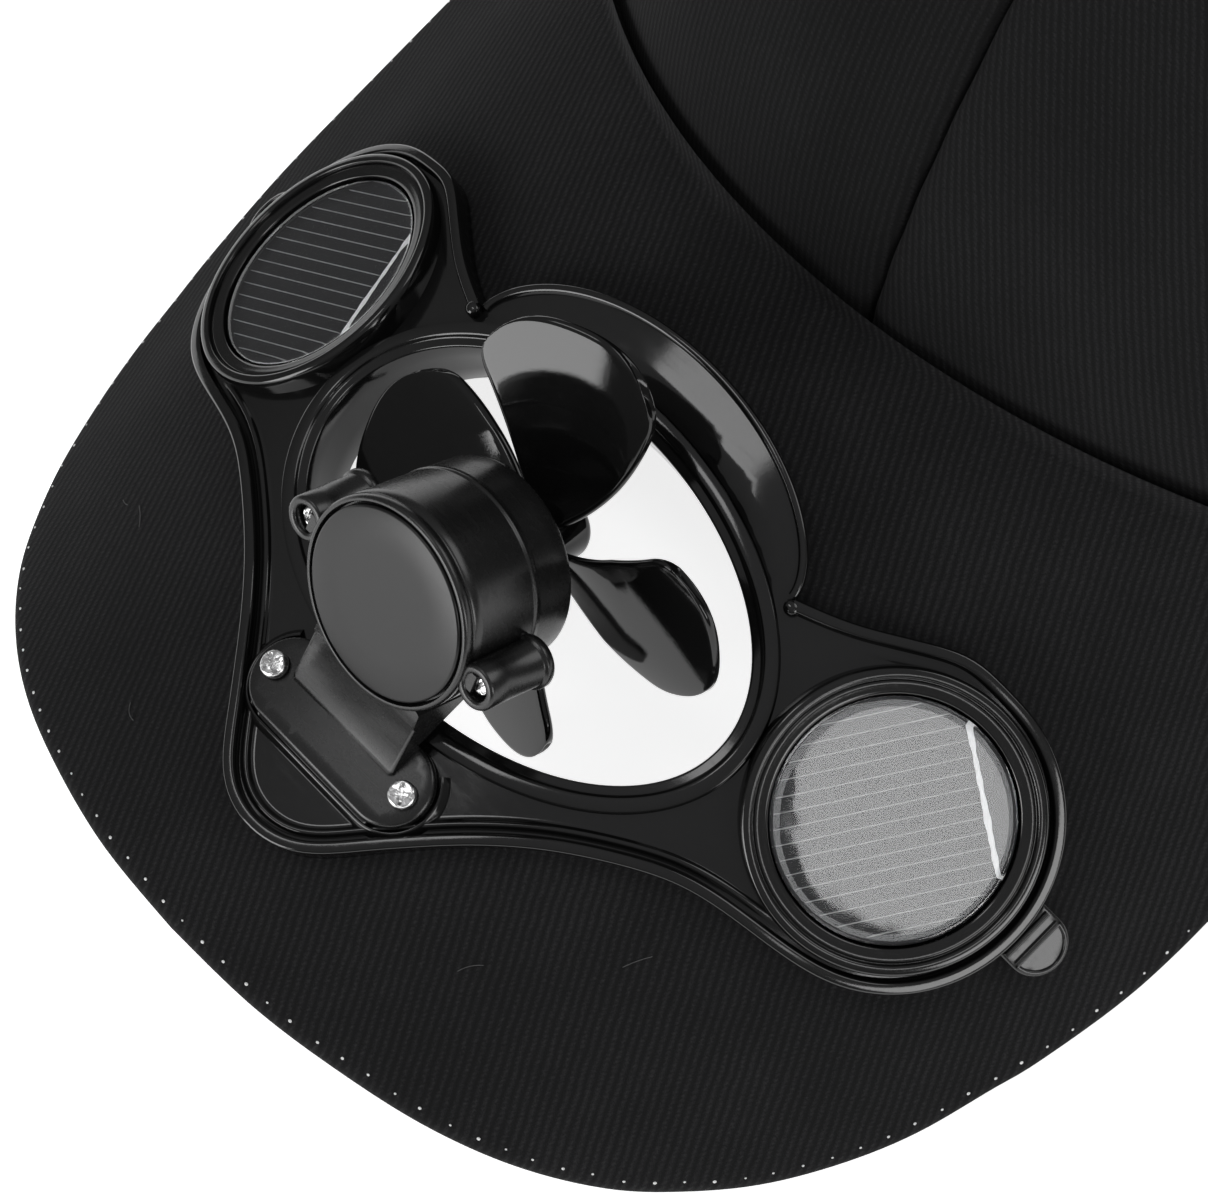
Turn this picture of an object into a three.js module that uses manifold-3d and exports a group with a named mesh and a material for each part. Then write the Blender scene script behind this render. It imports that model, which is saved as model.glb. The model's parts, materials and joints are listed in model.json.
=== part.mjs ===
// A six-panel cloth cap with a solar fan set into its peak, in millimetres, +Z up, front towards -Y
import * as THREE from 'three';
import { mergeVertices } from 'three/addons/utils/BufferGeometryUtils.js';
import Module from 'manifold-3d';

const wasm = await Module();
wasm.setup();

// Fits
const clearance = 0.3;
const weldDistance = 0.0001;
const degree = Math.PI / 180;

// Peak: places on it are (across, ahead, up) from the middle of the fan hole on its upper face
const peakRadius = 88;
const peakBentHalf = 61.5;
const peakHalfWidth = 76.6;
const peakReach = 50.5;
const peakThickness = 3;
const peakPitch = 15 * degree;
const peakToCrown = 39.6;
const peakStations = 18;
const peakEdge = [
  { across: 0, ahead: 1 },
  { across: 0.157, ahead: 0.99 },
  { across: 0.3, ahead: 0.958 },
  { across: 0.431, ahead: 0.914 },
  { across: 0.548, ahead: 0.85 },
  { across: 0.653, ahead: 0.762 },
  { across: 0.731, ahead: 0.664 },
  { across: 0.805, ahead: 0.545 },
  { across: 0.866, ahead: 0.406 },
  { across: 0.911, ahead: 0.265 },
  { across: 0.945, ahead: 0.1 },
  { across: 0.965, ahead: 0 },
  { across: 0.99, ahead: -0.188 },
  { across: 0.999, ahead: -0.34 },
  { across: 1, ahead: -0.55 },
  { across: 1, ahead: -0.95 },
  { across: 0.995, ahead: -1.34 },
];

// Crown: its rim is an oval, and its wall rises as a superellipse that leans back most at the front
const crownHalfWidth = 86;
const crownHalfLength = 96;
const crownHeight = 85;
const crownWall = 1.6;
const crownPanels = 6;
const crownTurn = 5.4 * degree;
const crownLeanFront = 1.4;
const crownLeanBack = 2.3;
const crownTip = 1.5;
const crownFlatRim = 0.82;
const crownNudge = 0.002;
const panelSteps = 6;
const panelRows = 8;

// Frame of the fan and cells, a moulded plate with a bead round its outline and another round the hole
const frameThickness = 1.7;
const frameNose = 37.8;
const frameWingRadius = 17;
const frameSlice = 9;
const frameFrontSteps = 14;
const frameWingSteps = 14;
const frameBackSteps = 5;
const beadWidth = 1.3;
const beadHeight = 1.2;
const frameFront = [
  { across: 0, ahead: 1 },
  { across: 0.131, ahead: 0.952 },
  { across: 0.265, ahead: 0.78 },
  { across: 0.39, ahead: 0.62 },
  { across: 0.53, ahead: 0.478 },
  { across: 0.71, ahead: 0.347 },
  { across: 0.835, ahead: 0.297 },
];
const frameBack = [
  { across: 0.87, behind: 1.38 },
  { across: 0.758, behind: 1.22 },
  { across: 0.64, behind: 1.04 },
  { across: 0.517, behind: 0.915 },
];

// Fan hole, its wall down through the cloth, its raised rim and the hood behind it
const holeHalfWidth = 27.5;
const holeHalfLength = 17.2;
const holeWall = 1.1;
const holeDepth = 4.4;
const holeLip = 2.4;
const holeRimWidth = 1.6;
const holeRimHeight = 1.3;
const holeSides = 44;
const hoodReach = 26.9;
const hoodShoulder = 1.2;
const hoodRise = 1.1;
const hoodRimWidth = 0.9;
const hoodRimHeight = 0.6;
const hoodSteps = 14;

// Solar cells in round cups that stay flat on the bent wings
const cellAcross = 44.2;
const cellBehind = 7;
const cellRadius = 12.2;
const cellThickness = 0.4;
const windowThickness = 0.8;
const cupRadius = 15.2;
const cupHeight = 3.6;
const cupLift = 0.1;
const cupFloor = 0.5;
const cupSides = 36;

// Tabs at the ends of the wings
const tabHalfWidth = 3.4;
const tabReach = 5.4;
const tabBehind = 8.3;
const tabThickness = 1.5;
const tabRibWidth = 0.6;
const tabRibHeight = 0.4;
const tabRibSpacing = 1.4;
const tabInnerSteps = 6;
const tabEndSteps = 12;

// Motor: its own frame has Z along the shaft, out of the front cap
const motorAhead = 12.4;
const motorUp = 16.5;
const motorTilt = 45 * degree;
const motorLength = 15.2;
const motorRadius = 10.9;
const motorTaper = 0.4;
const motorRim = 0.6;
const motorEdge = 0.3;
const motorSides = 36;
const capThickness = 0.8;
const capProud = 0.1;
const bossAcross = 12.5;
const bossRadius = 2.4;
const bossLength = 8.4;
const bossSetback = 0.5;
const bossWebOverlap = 0.6;
const bossScrewDepth = 1.2;
const bossSides = 14;

// Bracket that carries the motor, screwed to the nose of the frame
const bracketHalfSpan = 9.35;
const bracketHalfWidth = 11.8;
const bracketAhead = 24.6;
const bracketRound = 4.5;
const bracketRoundSteps = 10;
const bracketThickness = 1.3;
const bracketLipWidth = 0.9;
const bracketLipHeight = 0.7;
const bracketLipEnd = -50 * degree;
const saddleHalfWidth = 7.5;
const saddleSetback = 1.3;
const saddleSink = 2;
const saddleRun = 9;

// Screws
const screwHeadRadius = 1.5;
const screwHeadHeight = 1;
const screwShankRadius = 0.8;
const smallScrewRadius = 1.1;
const smallScrewHead = 0.9;
const smallShankRadius = 0.6;
const smallShankLength = 4.5;
const screwCrown = 0.7;
const screwSlotReach = 0.6;
const screwSlotWidth = 0.35;
const screwSlotDepth = 0.35;
const screwSides = 12;

// Rotor: four twisted blades on a hub behind the motor
const bladeCount = 4;
const bladeRadius = 24.4;
const bladePhase = -6.6 * degree;
const bladeThickness = 1.1;
const bladeSetback = 6;
const bladeRoot = 2.4;
const bladeTipRound = 0.133;
const bladeTipPower = 3;
const bladeRows = 5;
const bladeColumns = 5;
const bladeShape = [
  { span: 0, turn: 61 * degree, sweep: 0, pitch: 25.6 * degree },
  { span: 0.5, turn: 61 * degree, sweep: 10 * degree, pitch: 17 * degree },
  { span: 1, turn: 54.6 * degree, sweep: 19.2 * degree, pitch: 17 * degree },
];
const hubRadius = 3.4;
const hubFront = 3.2;
const hubBack = 5;
const hubRound = 1.2;
const shaftRadius = 1;
const shaftInMotor = 3;
const shaftInHub = 3.5;

// Colours and finishes
const cloth = new THREE.MeshStandardMaterial({ color: 0x17171a, roughness: 0.95, metalness: 0 });
const gloss = new THREE.MeshStandardMaterial({ color: 0x101012, roughness: 0.2, metalness: 0 });
const satin = new THREE.MeshStandardMaterial({ color: 0x2a2a2c, roughness: 0.5, metalness: 0 });
const tabPlastic = new THREE.MeshStandardMaterial({ color: 0x1c1c1e, roughness: 0.3, metalness: 0 });
const cellBlack = new THREE.MeshStandardMaterial({ color: 0x14161c, roughness: 0.3, metalness: 0.2 });
const clear = new THREE.MeshStandardMaterial({ color: 0xd8dde2, roughness: 0.05, metalness: 0 });
const steel = new THREE.MeshStandardMaterial({ color: 0xc4c6c8, roughness: 0.3, metalness: 1 });

// Heights of the frame over the cloth
const frameLow = clearance;
const frameTop = clearance + frameThickness;

// A place on the bent peak, in the peak's own frame
function onPeak(across, ahead, up) {
  const reach = Math.abs(across);
  const angle = Math.min(reach, peakBentHalf) / peakRadius;
  const flat = Math.max(reach - peakBentHalf, 0);
  const x = (peakRadius + up) * Math.sin(angle) + flat * Math.cos(angle);
  const z = (peakRadius + up) * Math.cos(angle) - peakRadius - flat * Math.sin(angle);
  return new THREE.Vector3(Math.sign(across) * x, -ahead, z);
}

// The same frame turned to the pitch of the peak, as the crown sees it
function pitched(point) {
  return point.clone().applyAxisAngle(new THREE.Vector3(1, 0, 0), peakPitch);
}

// Geometry from a list of corner points, three to a triangle, turned so that its faces point out
function fromCorners(corners) {
  let volume = 0;
  for (let i = 0; i < corners.length; i += 3) {
    const [a, b, c] = corners.slice(i, i + 3);
    volume += a.dot(b.clone().cross(c));
  }
  const points = [];
  for (let i = 0; i < corners.length; i += 3) {
    const [a, b, c] = corners.slice(i, i + 3);
    const shortest = Math.min(a.distanceTo(b), b.distanceTo(c), c.distanceTo(a));
    if (shortest > weldDistance) points.push(a, ...(volume > 0 ? [b, c] : [c, b]));
  }
  return mergeVertices(new THREE.BufferGeometry().setFromPoints(points), weldDistance);
}

function cornersOf(geometry) {
  const flat = geometry.index ? geometry.toNonIndexed() : geometry;
  const place = flat.getAttribute('position');
  return Array.from({ length: place.count }, (_, i) => new THREE.Vector3().fromBufferAttribute(place, i));
}

// A closed solid between two grids of points
function slab(outer, inner) {
  const corners = [];
  const quad = (a, b, c, d) => corners.push(a, b, c, a, c, d);
  const rows = outer.length - 1;
  const columns = outer[0].length - 1;
  for (let i = 0; i < rows; i += 1) {
    for (let j = 0; j < columns; j += 1) {
      quad(outer[i][j], outer[i + 1][j], outer[i + 1][j + 1], outer[i][j + 1]);
      quad(inner[i][j], inner[i][j + 1], inner[i + 1][j + 1], inner[i + 1][j]);
    }
    quad(outer[i][0], inner[i][0], inner[i + 1][0], outer[i + 1][0]);
    quad(outer[i][columns], outer[i + 1][columns], inner[i + 1][columns], inner[i][columns]);
  }
  for (let j = 0; j < columns; j += 1) {
    quad(outer[0][j], outer[0][j + 1], inner[0][j + 1], inner[0][j]);
    quad(outer[rows][j], inner[rows][j], inner[rows][j + 1], outer[rows][j + 1]);
  }
  return fromCorners(corners);
}

// Joins and cuts
function solid(geometry) {
  const welded = fromCorners(cornersOf(geometry));
  return new wasm.Manifold(new wasm.Mesh({
    numProp: 3,
    vertProperties: new Float32Array(welded.getAttribute('position').array),
    triVerts: new Uint32Array(welded.index.array),
  }));
}

function geometryOf(body) {
  const mesh = body.getMesh();
  const geometry = new THREE.BufferGeometry();
  geometry.setAttribute('position', new THREE.Float32BufferAttribute(mesh.vertProperties, 3));
  geometry.setIndex(Array.from(mesh.triVerts));
  return geometry;
}

function joined(geometries) {
  return geometries.map(solid).reduce((whole, piece) => whole.add(piece));
}

// An outline of (across, ahead) points raised to a flat plate from one height to another
function plate(outline, holes, low, high) {
  const flatPoint = ([across, ahead]) => new THREE.Vector2(across, -ahead);
  const rim = outline.map(flatPoint);
  const shape = new THREE.Shape(THREE.ShapeUtils.isClockWise(rim) ? rim.reverse() : rim);
  shape.holes = holes.map((hole) => new THREE.Path(hole.map(flatPoint)));
  const geometry = new THREE.ExtrudeGeometry(shape, { depth: high - low, bevelEnabled: false });
  return geometry.translate(0, 0, low);
}

// Cuts a convex polygon at a plane across the part
function cutAcross(polygon, x) {
  if (polygon.every((corner) => Math.abs(corner.x - x) <= weldDistance)) return [polygon];
  const sides = [[], []];
  polygon.forEach((a, i) => {
    const b = polygon[(i + 1) % polygon.length];
    const from = a.x - x;
    const to = b.x - x;
    if (from <= weldDistance) sides[0].push(a);
    if (from >= -weldDistance) sides[1].push(a);
    if (Math.abs(from) > weldDistance && Math.abs(to) > weldDistance && from * to < 0) {
      const [p, q] = from < to ? [a, b] : [b, a];
      const crossing = p.clone().lerp(q, (x - p.x) / (q.x - p.x));
      sides[0].push(crossing);
      sides[1].push(crossing);
    }
  });
  return sides.filter((side) => side.length > 2);
}

// Lays a flat plate on the peak: it is cut at even steps across, so that it can follow the bend
function bent(body) {
  const corners = cornersOf(geometryOf(body));
  const result = [];
  for (let i = 0; i < corners.length; i += 3) {
    let pieces = [corners.slice(i, i + 3)];
    const ends = pieces[0].map((corner) => corner.x / frameSlice);
    for (let k = Math.ceil(Math.min(...ends)); k <= Math.floor(Math.max(...ends)); k += 1) {
      pieces = pieces.flatMap((piece) => cutAcross(piece, k * frameSlice));
    }
    for (const piece of pieces) {
      for (let j = 1; j < piece.length - 1; j += 1) {
        result.push(piece[0], piece[j], piece[j + 1]);
      }
    }
  }
  return fromCorners(result.map((point) => onPeak(point.x, -point.y, point.z)));
}

function ellipse(halfWidth, halfLength, sides = holeSides) {
  return Array.from({ length: sides }, (_, i) => {
    const angle = (i / sides) * 2 * Math.PI;
    return [halfWidth * Math.cos(angle), halfLength * Math.sin(angle)];
  });
}

function arc(across, ahead, radius, from, to, steps) {
  return Array.from({ length: steps + 1 }, (_, i) => {
    const angle = from + ((to - from) * i) / steps;
    return [across + radius * Math.cos(angle), ahead + radius * Math.sin(angle)];
  });
}

function smooth(points, steps) {
  const curve = new THREE.SplineCurve(points.map(([across, ahead]) => new THREE.Vector2(across, ahead)));
  return curve.getPoints(steps).map((point) => [point.x, point.y]);
}

function mirrored(points) {
  return points.map(([across, ahead]) => [-across, ahead]).reverse();
}

// A point grid's neighbouring curve at a distance to its right, for beads along an edge
function beside(points, distance) {
  return points.map(([across, ahead], i) => {
    const before = points[Math.max(i - 1, 0)];
    const after = points[Math.min(i + 1, points.length - 1)];
    const run = new THREE.Vector2(after[0] - before[0], after[1] - before[1]).normalize();
    return [across + distance * run.y, ahead - distance * run.x];
  });
}

function bead(points, from, to, high) {
  const band = [...beside(points, from), ...beside(points, to).reverse()];
  return plate(band, [], frameLow, high);
}

// Peak: columns of cloth from the crown to the front edge, with the fan hole cut through
function crownSideAhead(across, up) {
  const place = onPeak(across, 0, up);
  const outerWidth = crownHalfWidth + clearance;
  const outerLength = crownHalfLength + clearance;
  const crownMiddle = pitched(onPeak(0, -peakToCrown, 0)).y + outerLength;
  const y = crownMiddle - outerLength * Math.sqrt(1 - (place.x / outerWidth) ** 2);
  return -(y + place.z * Math.sin(peakPitch)) / Math.cos(peakPitch);
}

const peakFrontEdge = smooth(peakEdge.map(({ across, ahead }) => [
  across * peakHalfWidth,
  ahead * peakReach,
]), peakStations);

function makePeak() {
  const edge = [...mirrored(peakFrontEdge).slice(0, -1), ...peakFrontEdge];
  const layer = (up) => edge.map(([across, ahead]) => [
    onPeak(across, crownSideAhead(across, up), up),
    onPeak(across, ahead, up),
  ]);
  const hole = ellipse(
    holeHalfWidth + holeWall + clearance,
    holeHalfLength + holeWall + clearance,
  );
  const cut = bent(solid(plate(hole, [], -2 * peakThickness, peakThickness)));
  return geometryOf(solid(slab(layer(0), layer(-peakThickness))).subtract(solid(cut)));
}

// Crown: each panel is a curved wall between two seams, from the rim up to the top
const crownFront = pitched(onPeak(0, -peakToCrown, 0));
const crownMiddleY = crownFront.y + clearance + crownHalfLength;
const crownTop = crownFront.z - peakThickness + crownHeight;

function peakUpAt(across) {
  return pitched(onPeak(across, crownSideAhead(across, 0), 0));
}

const peakCorner = peakUpAt(peakHalfWidth);
const floorLevel = Math.min(...peakFrontEdge.map(([across, ahead]) => (
  pitched(onPeak(across, ahead, -peakThickness)).z
)));

// The rim follows the peak's back edge, then falls evenly to the floor and lies on it at the back
function rimUp(x, y) {
  if (y < peakCorner.y) {
    const reach = Math.min(Math.abs(x), Math.abs(peakCorner.x));
    const angle = Math.asin(Math.min(reach / peakRadius, 1));
    const bentEnd = onPeak(peakBentHalf, 0, 0).x;
    const beyond = Math.max(reach - bentEnd, 0) / Math.cos(peakBentHalf / peakRadius);
    const across = Math.min(angle * peakRadius, peakBentHalf) + beyond;
    return peakUpAt(across).z - peakThickness;
  }
  const start = peakCorner.z - peakThickness;
  const share = (y - peakCorner.y) / (crownMiddleY + crownHalfLength - peakCorner.y);
  return start + (floorLevel - start) * Math.min(share / crownFlatRim, 1);
}

// Climb runs from 0 at the rim to 1 beside the top, where every panel ends the same small way out
function crownPoint(turn, climb) {
  const front = ((1 + Math.cos(turn)) / 2) ** 2;
  const lean = crownLeanBack + (crownLeanFront - crownLeanBack) * front;
  const angle = climb * Math.acos((crownTip / crownHalfWidth) ** (lean / 2));
  const spread = Math.cos(angle) ** (2 / lean);
  const rise = Math.sin(angle) ** (2 / lean);
  const rimX = crownHalfWidth * Math.sin(turn);
  const rimY = crownMiddleY - crownHalfLength * Math.cos(turn);
  const rim = rimUp(rimX, rimY);
  const y = crownMiddleY + (rimY - crownMiddleY) * spread;
  return new THREE.Vector3(rimX * spread, y, rim + (crownTop - rim) * rise);
}

function crownInside(turn, climb) {
  const low = Math.max(climb - crownNudge, 0);
  const high = Math.min(climb + crownNudge, 1);
  const along = crownPoint(turn, high).sub(crownPoint(turn, low));
  const round = crownPoint(turn + crownNudge, climb).sub(crownPoint(turn - crownNudge, climb));
  const inward = along.cross(round).normalize();
  if (climb === 0) inward.setZ(0).normalize();
  return crownPoint(turn, climb).addScaledVector(inward, crownWall);
}

function makePanel(index) {
  const width = (2 * Math.PI) / crownPanels;
  const from = crownTurn + (index - 0.5) * width + width / 2;
  const grid = (pointAt) => Array.from({ length: panelSteps + 1 }, (_, i) => (
    Array.from({ length: panelRows + 1 }, (_unused, j) => {
      const climb = j / panelRows;
      const middle = new THREE.Vector3(0, crownMiddleY, 0);
      const radius = crownPoint(from + width / 2, climb).setZ(0).distanceTo(middle);
      const seam = clearance / 2 / radius;
      return pointAt(from + seam + (width - 2 * seam) * (i / panelSteps), climb);
    })
  ));
  return slab(grid(crownPoint), grid(crownInside));
}

// Frame
const notch = [frameBack.at(-1).across * cellAcross, -frameBack.at(-1).behind * holeHalfLength];
const wingEnd = arc(cellAcross, -cellBehind, frameWingRadius, 82 * degree, -96 * degree, frameWingSteps);
const frameRight = [
  ...smooth([
    ...frameFront.map(({ across, ahead }) => [across * cellAcross, ahead * frameNose]),
    wingEnd[0],
  ], frameFrontSteps).slice(0, -1),
  ...wingEnd.slice(0, -1),
  ...smooth([
    wingEnd.at(-1),
    ...frameBack.map(({ across, behind }) => [across * cellAcross, -behind * holeHalfLength]),
  ], frameBackSteps),
];
const frameEdge = [...mirrored(frameRight).slice(0, -1), ...frameRight];

function hoodEdge(reach) {
  return arc(0, 0, 1, 0, -Math.PI, hoodSteps).map(([across, ahead]) => {
    const end = notch[1];
    return [across * notch[0], end - Math.abs(ahead) ** hoodShoulder * (reach + end)];
  });
}

// Round-ended outline of the bracket's plate, or of the lip a little outside it
function bracketOutline(outside, from = -90 * degree) {
  const middle = bracketHalfWidth - bracketRound;
  const right = arc(middle, bracketAhead, bracketRound + outside, from, 90 * degree, bracketRoundSteps);
  return [...right, ...mirrored(right)];
}

// The hood climbs backwards from the hole's rim to a thin raised edge of its own
function makeHood() {
  const back = hoodEdge(hoodReach);
  const inset = hoodEdge(hoodReach - hoodRimWidth);
  const rimWidth = holeHalfWidth + holeWall + holeRimWidth / 2;
  const rimLength = holeHalfLength + holeWall + holeRimWidth / 2;
  const front = back.map(([across]) => [across, -rimLength * Math.sqrt(1 - (across / rimWidth) ** 2)]);
  const rise = (i) => Math.sin((Math.PI * i) / hoodSteps);
  const flat = ([across, ahead], up) => new THREE.Vector3(across, -ahead, up);
  const top = back.map((point, i) => [
    flat(front[i], frameTop),
    flat(inset[i], frameTop + hoodRise * rise(i)),
    flat(inset[i], frameTop + hoodRise * rise(i) + hoodRimHeight),
    flat(point, frameTop + hoodRise * rise(i) + hoodRimHeight),
  ]);
  const bottom = back.map((point, i) => [
    flat(front[i], frameLow),
    flat(inset[i], frameLow),
    flat(inset[i], frameLow),
    flat(point, frameLow),
  ]);
  return { top, bottom };
}

function hoodSolid() {
  const { top, bottom } = makeHood();
  const inner = top.map((row, i) => row.slice(0, 2).map((point, j) => [point, bottom[i][j]]));
  const span = inner.slice(1, -1);
  const layer = (index) => span.map((row) => row.map((pair) => pair[index]));
  const slope = slab(layer(0), layer(1));
  const rimTop = top.slice(1, -1).map((row) => row.slice(2));
  const rimBottom = bottom.slice(1, -1).map((row) => row.slice(2));
  return [slope, slab(rimTop, rimBottom)];
}

function atCell(geometry, side) {
  const angle = Math.min(cellAcross, peakBentHalf) / peakRadius;
  const middle = onPeak(side * cellAcross, -cellBehind, 0);
  return geometry.rotateX(Math.PI / 2).rotateY(side * angle).translate(middle.x, middle.y, middle.z);
}

function lathe(profile, sides) {
  return new THREE.LatheGeometry(profile.map(([radius, along]) => new THREE.Vector2(radius, along)), sides);
}

const cupInside = cellRadius + clearance;
const cupLow = clearance + cupLift;
const cupBed = cupLow + cupFloor;

function cup() {
  const step = (cupRadius - cupInside) / 3;
  return lathe([
    [0, cupLow],
    [cupRadius, cupLow],
    [cupRadius, cupHeight - step],
    [cupRadius - step / 2, cupHeight],
    [cupRadius - 2 * step, cupHeight],
    [cupInside, cupHeight - step / 2],
    [cupInside, cupBed],
    [0, cupBed],
  ], cupSides);
}

function screwHole(side) {
  const radius = screwShankRadius + clearance;
  return arc(side * bracketHalfSpan, bracketAhead, radius, 0, 2 * Math.PI, screwSides).slice(1);
}

function makeFrame() {
  const hood = hoodEdge(hoodReach);
  const outline = [...frameEdge.slice(0, -1), ...hood.slice(0, -1)];
  const inner = ellipse(holeHalfWidth, holeHalfLength);
  const grown = (extra) => ellipse(holeHalfWidth + extra, holeHalfLength + extra);
  const lip = bracketOutline(clearance, bracketLipEnd);
  const lipOut = bracketOutline(clearance + bracketLipWidth, bracketLipEnd);
  const flat = joined([
    plate(outline, [inner], frameLow, frameTop),
    plate(grown(holeWall), [inner], -holeDepth, frameTop + holeLip - frameThickness),
    plate(grown(holeWall + holeRimWidth), [grown(holeWall)], frameLow, frameTop + holeRimHeight),
    bead(frameEdge, 0, beadWidth, frameTop + beadHeight),
    plate([...lipOut, ...lip.reverse()], [], frameLow, frameTop + bracketLipHeight),
    ...hoodSolid(),
  ]);
  const drilled = [-1, 1].reduce((body, side) => (
    body.subtract(solid(plate(screwHole(side), [], -peakThickness, 2 * motorUp)))
  ), flat);
  const cups = [-1, 1].map((side) => solid(atCell(cup(), side)));
  const over = 4 * cupHeight;
  const recess = lathe([[0, cupBed], [cupInside, cupBed], [cupInside, over], [0, over]], cupSides);
  const recesses = [-1, 1].map((side) => solid(atCell(recess.clone(), side)));
  const filled = solid(bent(drilled)).add(cups[0]).add(cups[1]);
  return geometryOf(filled.subtract(recesses[0]).subtract(recesses[1]));
}

function disc(radius, low, high, side) {
  return atCell(lathe([[0, low], [radius, low], [radius, high], [0, high]], cupSides), side);
}

// Tab at the end of a wing, a half round with two ribs across it
function makeTab(side) {
  const edge = frameWingRadius + clearance;
  const reach = (ahead) => cellAcross + Math.sqrt(edge ** 2 - (ahead + cellBehind) ** 2);
  const low = -tabBehind - tabHalfWidth;
  const high = -tabBehind + tabHalfWidth;
  const end = cellAcross + edge + tabReach - tabHalfWidth;
  const inner = Array.from({ length: tabInnerSteps + 1 }, (_, i) => {
    const ahead = high + ((low - high) * i) / tabInnerSteps;
    return [reach(ahead), ahead];
  });
  const round = arc(end, -tabBehind, tabHalfWidth, -90 * degree, 90 * degree, tabEndSteps);
  const outline = [...inner, ...round];
  const top = clearance + tabThickness;
  const ribs = [0, 1].map((index) => {
    const across = end - index * tabRibSpacing;
    const half = tabHalfWidth - tabRibWidth / 2;
    return plate([
      [across - tabRibWidth, -tabBehind - half],
      [across, -tabBehind - half],
      [across, -tabBehind + half],
      [across - tabRibWidth, -tabBehind + half],
    ], [], clearance, top + tabRibHeight);
  });
  const body = joined([plate(outline, [], clearance, top), ...ribs]);
  return bent(side > 0 ? body : body.mirror([1, 0, 0]));
}

// Motor mount: plate and saddle of the bracket, the barrel and its two screw bosses
function inMotor(geometry) {
  return geometry.rotateX(motorTilt).translate(0, -motorAhead, motorUp);
}

const bossOpening = -bossSetback;

function boss(side) {
  const end = bossOpening - bossLength;
  const tube = lathe([[0, end], [bossRadius, end], [bossRadius, bossOpening], [0, bossOpening]], bossSides);
  const webWidth = bossAcross - motorRadius + bossWebOverlap;
  const web = new THREE.BoxGeometry(webWidth, bossRadius, bossLength);
  web.translate(side * (bossAcross - webWidth / 2), 0, bossOpening - bossLength / 2);
  return [inMotor(tube.rotateX(Math.PI / 2).translate(side * bossAcross, 0, 0)), inMotor(web)];
}

function bossBore(side) {
  const head = bossOpening - bossScrewDepth - smallScrewHead - clearance;
  const end = head - smallShankLength - clearance;
  const bore = lathe([
    [0, end],
    [smallShankRadius + clearance, end],
    [smallShankRadius + clearance, head],
    [smallScrewRadius + clearance, head],
    [smallScrewRadius + clearance, bossRadius],
    [0, bossRadius],
  ], bossSides);
  return inMotor(bore.rotateX(Math.PI / 2).translate(side * bossAcross, 0, 0));
}

function barrel() {
  const rim = motorRadius - motorRim;
  const bed = capProud - capThickness - clearance;
  const back = -motorLength;
  return inMotor(lathe([
    [0, back + shaftInMotor],
    [shaftRadius + clearance, back + shaftInMotor],
    [shaftRadius + clearance, back],
    [motorRadius - motorTaper - motorEdge, back],
    [motorRadius - motorTaper, back + motorEdge],
    [motorRadius, -motorEdge],
    [motorRadius - motorEdge, 0],
    [rim, 0],
    [rim, bed],
    [0, bed],
  ], motorSides).rotateX(Math.PI / 2));
}

// A place under the motor's shaft, by its distance from the shaft and along it, as (ahead, up)
function underMotor(radius, along) {
  return [
    motorAhead + radius * Math.cos(motorTilt) + along * Math.sin(motorTilt),
    motorUp - radius * Math.sin(motorTilt) + along * Math.cos(motorTilt),
  ];
}

// The saddle is a wedge from the plate up to the underside of the barrel
function saddle() {
  const base = frameTop + clearance;
  const overRim = frameTop + holeRimHeight + clearance;
  const rimAhead = holeHalfLength + holeWall + holeRimWidth + clearance;
  const profile = [
    [rimAhead, base],
    [bracketAhead - clearance, base],
    [bracketAhead - clearance, base + bracketThickness],
    underMotor(motorRadius, -saddleSetback),
    underMotor(motorRadius - saddleSink, -saddleSetback),
    underMotor(motorRadius - saddleSink, -saddleRun),
    [rimAhead, overRim],
  ];
  const shape = new THREE.Shape(profile.map(([ahead, up]) => new THREE.Vector2(ahead, up)));
  const wedge = new THREE.ExtrudeGeometry(shape, { depth: 2 * saddleHalfWidth, bevelEnabled: false });
  return wedge.translate(0, 0, -saddleHalfWidth).rotateX(Math.PI / 2).rotateZ(-Math.PI / 2);
}

function makeMount() {
  const low = frameTop + clearance;
  const holes = [-1, 1].map(screwHole);
  const base = bent(solid(plate(bracketOutline(0), holes, low, low + bracketThickness)));
  const pieces = [base, saddle(), barrel(), ...boss(-1), ...boss(1)];
  const shaftClear = lathe([
    [0, -2 * motorLength],
    [shaftRadius + clearance, -2 * motorLength],
    [shaftRadius + clearance, shaftInMotor - motorLength],
    [0, shaftInMotor - motorLength],
  ], bossSides);
  return geometryOf(joined(pieces)
    .subtract(solid(bossBore(-1)))
    .subtract(solid(bossBore(1)))
    .subtract(solid(inMotor(shaftClear.rotateX(Math.PI / 2)))));
}

function makeCap() {
  const radius = motorRadius - motorRim - clearance;
  const back = capProud - capThickness;
  return inMotor(lathe([
    [0, back],
    [radius, back],
    [radius, capProud],
    [0, capProud],
  ], motorSides).rotateX(Math.PI / 2));
}

// A screw with a domed head and a cross in it, its head seated at height 0
function screw(headRadius, headHeight, shankRadius, shankLength) {
  const body = lathe([
    [0, -shankLength],
    [shankRadius, -shankLength],
    [shankRadius, 0],
    [headRadius, 0],
    [headRadius, headHeight / 2],
    [headRadius * screwCrown, headHeight],
    [0, headHeight],
  ], screwSides).rotateX(Math.PI / 2);
  const slots = [0, Math.PI / 2].map((turn) => {
    const slot = new THREE.BoxGeometry(2 * screwSlotReach * headRadius, screwSlotWidth, 2 * screwSlotDepth);
    return slot.rotateZ(turn + Math.PI / 4).translate(0, 0, headHeight);
  });
  return geometryOf(solid(body).subtract(joined(slots)));
}

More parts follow.
